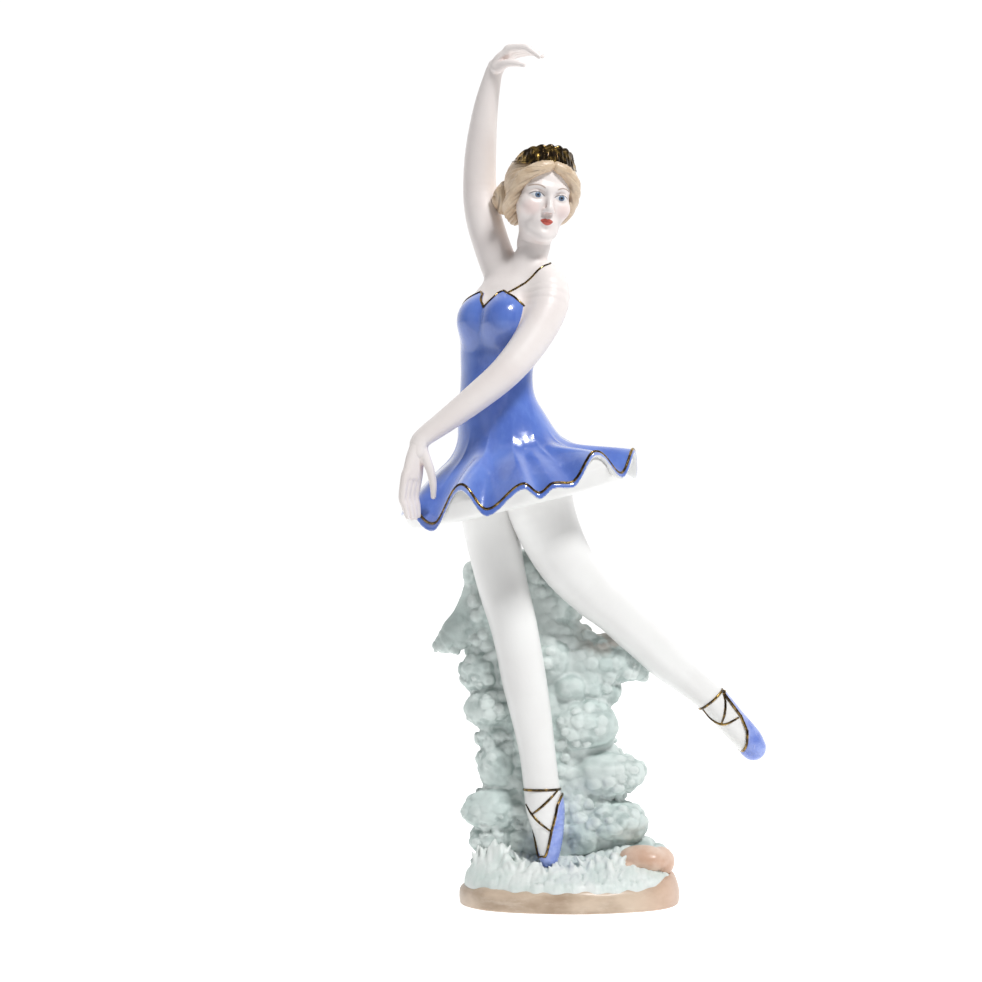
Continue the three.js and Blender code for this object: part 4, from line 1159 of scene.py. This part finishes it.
# ---- The sizes a maker would change ----


def length_property(name, description, default):
    least, most = 0.1 * MM, 2 * MM
    return bpy.props.FloatProperty(
        name=name, description=description, default=default * MM,
        min=least, max=most, precision=5, unit="LENGTH"
    )


def colour_property(name, description, default):
    return bpy.props.FloatVectorProperty(
        name=name, description=description, default=default, subtype="COLOR", min=0, max=1
    )


class DancerSizes(bpy.types.PropertyGroup):
    body_step: length_property("Body step", "Side of the squares of the body's mesh", 0.42)
    fine_step: length_property("Fine step", "Side of the squares of the head, hands and slippers", 0.26)
    rock_step: length_property("Rock step", "Side of the squares of the rock and the base", 0.55)
    gold_line: length_property("Gold line", "Half width of a gilded line", 0.48)


class DancerColours(bpy.types.PropertyGroup):
    dress: colour_property("Dress", "Cobalt glaze where it lies thick", (0.095, 0.178, 0.585))
    slippers: colour_property("Slippers", "Blue of the slippers where it lies thick", (0.17, 0.25, 0.68))
    skin: colour_property("Skin", "Palest colour of the skin", (0.865, 0.81, 0.79))
    tights: colour_property("Tights", "Palest colour of the tights and petticoat", (0.86, 0.86, 0.85))
    hair: colour_property("Hair", "Palest colour of the hair", (0.74, 0.59, 0.43))
    gold: colour_property("Gold", "Gilding where it catches the light", (0.46, 0.29, 0.075))
    rock: colour_property("Rock", "Palest wash on the rock", (0.68, 0.755, 0.73))
    grass: colour_property("Grass", "Palest wash on the grass", (0.77, 0.81, 0.79))
    rim: colour_property("Rim", "Palest stain on the base's rim", (0.65, 0.52, 0.4))
    stone: colour_property("Stone", "Palest stain on the stone at the rim", (0.72, 0.53, 0.42))


class StudioSizes(bpy.types.PropertyGroup):
    key_power: bpy.props.FloatProperty(
        name="Key light", description="Power of the key light", default=15.5, min=0.0, unit="POWER"
    )
    fill_power: bpy.props.FloatProperty(
        name="Fill light", description="Power of the fill light", default=0.3, min=0.0, unit="POWER"
    )
    floor_colour: colour_property("Floor", "Colour of the floor", (0.4, 0.4, 0.4))
    lens: bpy.props.FloatProperty(
        name="Lens", description="Focal length of the camera", default=105.65, min=10, max=300, unit="CAMERA"
    )


# ---- Operators ----


class CastOperator(bpy.types.Operator):
    bl_options = {"REGISTER", "UNDO"}

    def size(self, name):
        """One of the panel's lengths in millimetres."""
        return getattr(bpy.context.scene.dancer_sizes, name) / MM

    @staticmethod
    def cast(shape, low, high, step):
        return cast(shape, low, high, step * (1))


class DANCER_OT_base(CastOperator):
    """Cast the oval plinth, the grass on it and the stone at its end"""

    bl_idname = "dancer.base"
    bl_label = "Base, grass and stone"

    def execute(self, context):
        step = self.size("rock_step")
        made = self.cast(plinth_at, (-42, -29, -1.5), (42, 29, 15), step)
        piece("oval_plinth", made, tan_wash(), ["base_plinth"], plinth_at)
        blades = grass_blades()

        def ground(p):
            return mound_at(p, blades)

        made = self.cast(ground, (-39, -27, 5), (39, 27, 27), step)
        piece("grass_ground", made, grass_wash(), ["grass_mound"], ground)
        made = self.cast(stone_at, (14, -14, 7), (39, 8, 24), step)
        piece("rim_stone", made, peach_wash(), ["side_stone"], stone_at)
        return {"FINISHED"}


class DANCER_OT_rock(CastOperator):
    """Cast the knobbly rock that the dancer stands against"""

    bl_idname = "dancer.rock"
    bl_label = "Rock"

    def execute(self, context):
        made = self.cast(rock_at, (-53, -9, 4), (43, 27, 123), self.size("rock_step"))
        nodes = ["rock_pillar", "rock_left_spur", "rock_right_ledge", "rock_right_shelf"]
        piece("rock", made, rock_wash(), nodes, rock_at, depth=1.8)
        return {"FINISHED"}


class DANCER_OT_legs(CastOperator):
    """Cast both legs and the hips"""

    bl_idname = "dancer.legs"
    bl_label = "Legs"

    def execute(self, context):
        step, glaze = self.size("body_step"), kept(white_porcelain)
        made = self.cast(standing_leg_at, (-40, -19, 11), (4, 16, 158), step)
        piece("tights_standing", made, glaze, ["standing_leg", "hips"], standing_leg_at)
        made = self.cast(raised_leg_at, (-28, -17, 45), (73, 23, 158), step)
        piece("tights_raised", made, glaze, ["raised_leg"], raised_leg_at)
        return {"FINISHED"}


class DANCER_OT_slippers(CastOperator):
    """Cast the two slippers and gild their edges and ribbons"""

    bl_idname = "dancer.slippers"
    bl_label = "Slippers and ribbons"

    def execute(self, context):
        step, line = self.size("fine_step"), self.size("gold_line")
        glaze, gold = slipper_glaze(), kept(burnished_gold)
        made = self.cast(standing_slipper_at, (-14, -18, 9), (4, 4, 44), step)
        piece("slipper_standing", made, glaze, ["standing_slipper"], standing_slipper_at)
        made = self.cast(raised_slipper_at, (43, 5, 42), (74, 22, 78), step)
        piece("slipper_raised", made, glaze, ["raised_slipper"], raised_slipper_at)
        piece("ribbons_standing", joined(self.standing_lines(line)), gold)
        piece("ribbons_raised", joined(self.raised_lines(line)), gold)
        return {"FINISHED"}

    @staticmethod
    def band(leg_at, middle, way, radius, line):
        """A gilded ring round an ankle, square to way."""
        way = unit(way)
        first = unit(np.cross(way, (0.1, 0.9, 0.2)))
        second = np.cross(way, first)
        turn = np.linspace(0, 2 * math.pi, 56, endpoint=False)[:, None]
        ways = np.cos(turn) * first + np.sin(turn) * second
        middles = np.repeat(np.asarray(middle, float)[None], len(ways), 0)
        return tube(lay_round(leg_at, middles, ways, radius), line, closed=True)

    @staticmethod
    def stroke(leg_at, xz, line, turn=1.0):
        """A gilded ribbon stroke through points (x, z), thinner at its ends. turn -1 lays it at the back."""
        fine = spline(xz, 10)
        laid = lay_from_front(leg_at, fine, turn=turn)
        taper = line * (0.55 + 0.45 * np.sin(np.linspace(0.25, math.pi - 0.25, len(laid))))
        return tube(laid, taper)

    @staticmethod
    def edge(leg_at, heel, toe, sole, reach, line):
        """The gilded edge of a slipper's opening, down one side of the foot and back up the other."""
        run = toe - heel
        share = np.linspace(0.0, 0.97, 50)
        out = np.interp(share, [r[0] for r in reach], [r[1] for r in reach])
        middles = heel + share[:, None] * run + out[:, None] * sole
        inside = leg_at(middles) < 0.35
        middles = middles[inside]
        across = unit(np.cross(run, sole))
        sides = []
        for way in (across, -across):
            ways = np.repeat(way[None], len(middles), 0)
            sides.append(lay_round(lambda p: leg_at(p) - SLIPPER_WALL, middles, ways, 14))
        return tube(np.vstack([sides[0], sides[1][::-1]]), line, closed=True)

    def standing_lines(self, line):
        leg = standing_leg_at
        return [
            self.band(leg, (-9.6, -6.0, 40.5), (-0.02, 0.03, 1), 12, line),
            self.stroke(leg, [(-4.2, 40.4), (-8.6, 36.2), (-13.0, 32.4)], line),
            self.stroke(leg, [(-15.0, 35.6), (-13.2, 32.6), (-10.6, 29.8), (-7.0, 27.0)], line),
            self.edge(leg, STAND_HEEL, STAND_TOE, STAND_SOLE, STAND_REACH, line),
            self.stroke(leg, [(-4.6, 39.6), (-9, 35.4), (-13.4, 31.6)], line, -1.0),
        ]

    def raised_lines(self, line):
        leg = raised_leg_at
        return [
            self.band(leg, (50.2, 12.0, 70.4), (0.66, 0.08, -0.75), 10, line),
            self.stroke(leg, [(54.0, 73.0), (54.9, 69.4), (54.6, 65.2), (53.6, 61.9)], line),
            self.stroke(leg, [(47.0, 67.0), (50.4, 63.2), (54.4, 61.6), (59.6, 64.0)], line),
            self.edge(leg, FREE_HEEL, FREE_TOE, FREE_SOLE, FREE_REACH, line),
            self.stroke(leg, [(54.0, 73.0), (55.2, 68.6), (55.4, 64.4)], line, -1.0),
        ]


class DANCER_OT_dress(CastOperator):
    """Cast the bodice and skirt in one, with the petticoat, and gild the hem, neckline and strap"""

    bl_idname = "dancer.dress"
    bl_label = "Dress"

    def execute(self, context):
        step, line = self.size("body_step"), self.size("gold_line")
        made = self.cast(dress_at, (-62, -39, 126), (28, 39, 217), step)
        verts = made[0]
        top, share, wave, gather = skirt_height(verts[:, 0], verts[:, 1])
        below = top - verts[:, 2]
        facing = slope_of(dress_at, verts, 0.2)[:, 2]
        flared = np.clip((share - 0.3) / 0.1, 0, 1) * (below > -3)
        marks = {
            "under": np.clip(-facing / 0.2 - 0.5, 0, 1) * (share > 0.33) * (verts[:, 2] < 163),
            # crest and trough mark the flutes' ridges and valleys. The blue glaze paints them paler and
            # darker: partly thin and pooled glaze, partly painted highlight and painted shade.
            "crest": flared * np.clip(wave / 7 + gather * 0.9, 0, 1),
            "trough": flared * np.clip(-wave / 7, 0, 1),
        }
        piece("dress", made, blue_glaze(), ["bodice", "skirt"], dress_at, marks, depth=2.6)
        made = self.cast(petticoat_at, (-61, -38, 118), (27, 38, 178), step * 1.1)
        piece("petticoat_underside", made, kept(white_porcelain), ["petticoat"], petticoat_at)
        gold = kept(burnished_gold)
        piece("hem_gilding", tube(self.hem(), line * 1.05, closed=True), gold)
        piece("neckline_gilding", tube(self.neckline(), line, closed=True), gold)
        piece("strap_gilding", tube(self.strap(), line * 0.85), gold)
        return {"FINISHED"}

    @staticmethod
    def hem():
        turn = np.radians(np.linspace(0, 360, 720, endpoint=False))
        x = HEM_CENTRE + (HEM_HALF[0] - HEM_INSET) * np.sin(turn)
        y = -(HEM_HALF[1] - HEM_INSET) * np.cos(turn)
        points = np.stack([x, y, skirt_height(x, y)[0] + 0.1], 1)
        return settled(dress_at, points, 3)

    @staticmethod
    def neckline():
        turn = np.radians(np.linspace(-180, 180, 260, endpoint=False))
        ways = np.cos(turn)[:, None] * FRONT + np.sin(turn)[:, None] * SIDE
        heights = np.interp(np.abs(np.degrees(turn)), NECKLINE[:, 0], NECKLINE[:, 1])
        middles = np.repeat(CHEST[None], len(turn), 0)
        middles[:, 2] = heights - 0.1
        return lay_round(torso_at, middles, ways, 24)

    @staticmethod
    def strap():
        """It runs from the top of a cup over the shoulder to the back of the bodice."""
        # Place along the shoulders, its depth inside them, and degrees round from the front over the top.
        route = spline([(-21.2, -1, 26), (-16.6, -2, 45), (-11.4, -3.4, 66), (-6.8, -4.6, 88),
                        (-6.4, -4.2, 116), (-7.6, -3, 148), (-9.6, -1.5, 188), (-11.6, -0.5, 229)], 12)
        turn = np.radians(route[:, 2])
        ways = np.stack([np.zeros(len(turn)), -np.cos(turn), np.sin(turn)], 1)
        middles = np.stack([route[:, 0], route[:, 1], np.full(len(turn), 207.0)], 1)
        return lay_round(skin_at, middles, ways, 22)


class DANCER_OT_skin(CastOperator):
    """Cast the shoulders and arms, and both hands"""

    bl_idname = "dancer.skin"
    bl_label = "Shoulders, arms and hands"

    def execute(self, context):
        glaze = bisque("skin_bisque")

        def body_at(p):
            hidden = 190 - p[:, 2] - np.clip(-11 - p[:, 1], 0, 12) * 12 - np.clip(-36 - p[:, 0], 0, 12) * 12
            return overlap(skin_at(p), hidden, 1.0)

        made = self.cast(body_at, (-58, -32, 150), (6, 22, 295), self.size("body_step"))
        nodes = ["shoulders", "raised_arm", "lowered_arm"]
        piece("shoulders_and_arms", made, glaze, nodes, body_at)
        step = self.size("fine_step")
        made = self.cast(raised_hand_at, (-32, -12, 283), (-4, 12, 303), step)
        piece("hand_raised", made, glaze, ["raised_hand"], raised_hand_at)
        made = self.cast(lowered_hand_at, (-64, -32, 128), (-43, -15, 166), step)
        piece("hand_lowered", made, glaze, ["lowered_hand"], lowered_hand_at)
        return {"FINISHED"}


class DANCER_OT_head(CastOperator):
    """Cast the head, the hair, the bun and the tiara"""

    bl_idname = "dancer.head"
    bl_label = "Head, hair and tiara"

    def execute(self, context):
        step = self.size("fine_step")
        made = self.cast(head_at, (-28, -20, 220), (9, 18, 264), step)
        marks = {"face": in_head(made[0])}
        glaze = bisque("face_bisque", True)
        piece("head_cast", made, glaze, ["head"], head_at, marks, depth=0.9)
        made = self.cast(hair_at, (-30, -18, 228), (10, 22, 268), step)
        glaze = hair_glaze()
        piece("hair_cast", made, glaze, ["hair"], hair_at, depth=0.8)
        made = self.cast(bun_at, (-32, -6, 232), (-6, 22, 258), step)
        piece("bun_cast", made, glaze, ["hair_bun"], bun_at, depth=0.8)
        gold = kept(burnished_gold)
        piece("tiara_band", tiara_mesh(), gold, ["tiara"])
        return {"FINISHED"}


class DANCER_OT_studio(bpy.types.Operator):
    """Lay the floor, hang the lights and set up the camera"""

    bl_idname = "dancer.studio"
    bl_label = "Studio"
    bl_options = {"REGISTER", "UNDO"}

    def execute(self, context):
        scene = context.scene
        studio = scene.dancer_studio
        self.floor(studio)
        self.world(scene)
        self.light("key_light", (0.48, -0.66, 1.25), studio.key_power, 0.26)
        self.light("fill_light", (-0.9, -0.75, 0.45), studio.fill_power, 0.7)
        camera = bpy.data.cameras.new("camera")
        camera.sensor_width = 36
        camera.lens = studio.lens
        camera.clip_start = 0.01
        holder = bpy.data.objects.new("camera", camera)
        scene.collection.objects.link(holder)
        holder.location = (-0.02707, -1.0, 0.1433)
        holder.rotation_euler = (math.pi / 2, 0, 0)
        scene.camera = holder
        scene.view_settings.view_transform = "Standard"
        return {"FINISHED"}

    @staticmethod
    def floor(studio):
        """A round sheet of paper that glows white behind the dancer."""
        rings, sides, innermost, growth = 24, 96, 0.02, 1.28
        turns = np.linspace(0, 2 * math.pi, sides, endpoint=False)
        verts = [(0.0, 0.0, 0.0)]
        for ring in range(rings):
            radius = innermost * growth**ring
            verts += [(radius * math.cos(a), radius * math.sin(a), 0.0) for a in turns]
        faces = [(0, 1 + k, 1 + (k + 1) % sides) for k in range(sides)]
        for ring in range(rings - 1):
            for k in range(sides):
                a, b = 1 + ring * sides + k, 1 + ring * sides + (k + 1) % sides
                faces.append((a, a + sides, b + sides, b))
        mesh = bpy.data.meshes.new("floor")
        mesh.from_pydata(verts, [], faces)
        g = Glaze("floor_paper", Emission_Strength=0.95)
        behind = g.parts(g.place())[1].step(-0.36, -0.15)
        g.feed(g.shader.inputs["Emission Color"], g.mix(behind, (0.28, 0.28, 0.28), (1, 1, 1)))
        colour = g.mix(g.noise(30, 2) * 0.05, studio.floor_colour, (0.38, 0.38, 0.38))
        mesh.materials.append(g.finish(colour, 0.8))
        floor = bpy.data.objects.new("floor", mesh)
        bpy.context.scene.collection.objects.link(floor)

    @staticmethod
    def world(scene):
        """A white sweep behind the object and a dimmer room in front of it."""
        world = bpy.data.worlds.new("studio")
        scene.world = world
        world.use_nodes = True
        air = Paint(world.node_tree)
        back = world.node_tree.nodes["Background"]
        back.inputs["Color"].default_value = (1, 1, 1, 1)
        depth = air.parts(air.node("ShaderNodeTexCoord", None, None, "Generated"))[1]
        air.feed(back.inputs["Strength"], depth.step(-0.2, 0.7, 0.16, 1.05))

    @staticmethod
    def light(name, at, power, size):
        lamp = bpy.data.lights.new(name, "AREA")
        lamp.energy = power
        lamp.size = size
        holder = bpy.data.objects.new(name, lamp)
        bpy.context.scene.collection.objects.link(holder)
        holder.location = at
        aim = Vector((-0.02, 0, 0.16)) - Vector(at)
        holder.rotation_euler = aim.to_track_quat("-Z", "Y").to_euler()


OPERATORS = (
    DANCER_OT_base,
    DANCER_OT_rock,
    DANCER_OT_legs,
    DANCER_OT_slippers,
    DANCER_OT_dress,
    DANCER_OT_skin,
    DANCER_OT_head,
    DANCER_OT_studio,
)


class DANCER_PT_panel(bpy.types.Panel):
    """Lists the dancer's sizes and its casts"""

    bl_idname = "DANCER_PT_panel"
    bl_label = "Porcelain dancer"
    bl_space_type = "VIEW_3D"
    bl_region_type = "UI"
    bl_category = "Dancer"

    def draw(self, context):
        scene = context.scene
        for group in (scene.dancer_sizes, scene.dancer_colours, scene.dancer_studio):
            for key in group.__annotations__:
                self.layout.prop(group, key)
        for operator in OPERATORS:
            self.layout.operator(operator.bl_idname)


CLASSES = (DancerSizes, DancerColours, StudioSizes, *OPERATORS, DANCER_PT_panel)


def register():
    for made in CLASSES:
        bpy.utils.register_class(made)
    bpy.types.Scene.dancer_sizes = bpy.props.PointerProperty(type=DancerSizes)
    bpy.types.Scene.dancer_colours = bpy.props.PointerProperty(type=DancerColours)
    bpy.types.Scene.dancer_studio = bpy.props.PointerProperty(type=StudioSizes)


def unregister():
    del bpy.types.Scene.dancer_studio
    del bpy.types.Scene.dancer_colours
    del bpy.types.Scene.dancer_sizes
    for made in reversed(CLASSES):
        bpy.utils.unregister_class(made)


def main():
    register()
    for operator in OPERATORS:
        group, name = operator.bl_idname.split(".")
        if getattr(getattr(bpy.ops, group), name)() != {"FINISHED"}:
            raise RuntimeError(operator.bl_label + " wasn't made")


if __name__ == "__main__":
    main()
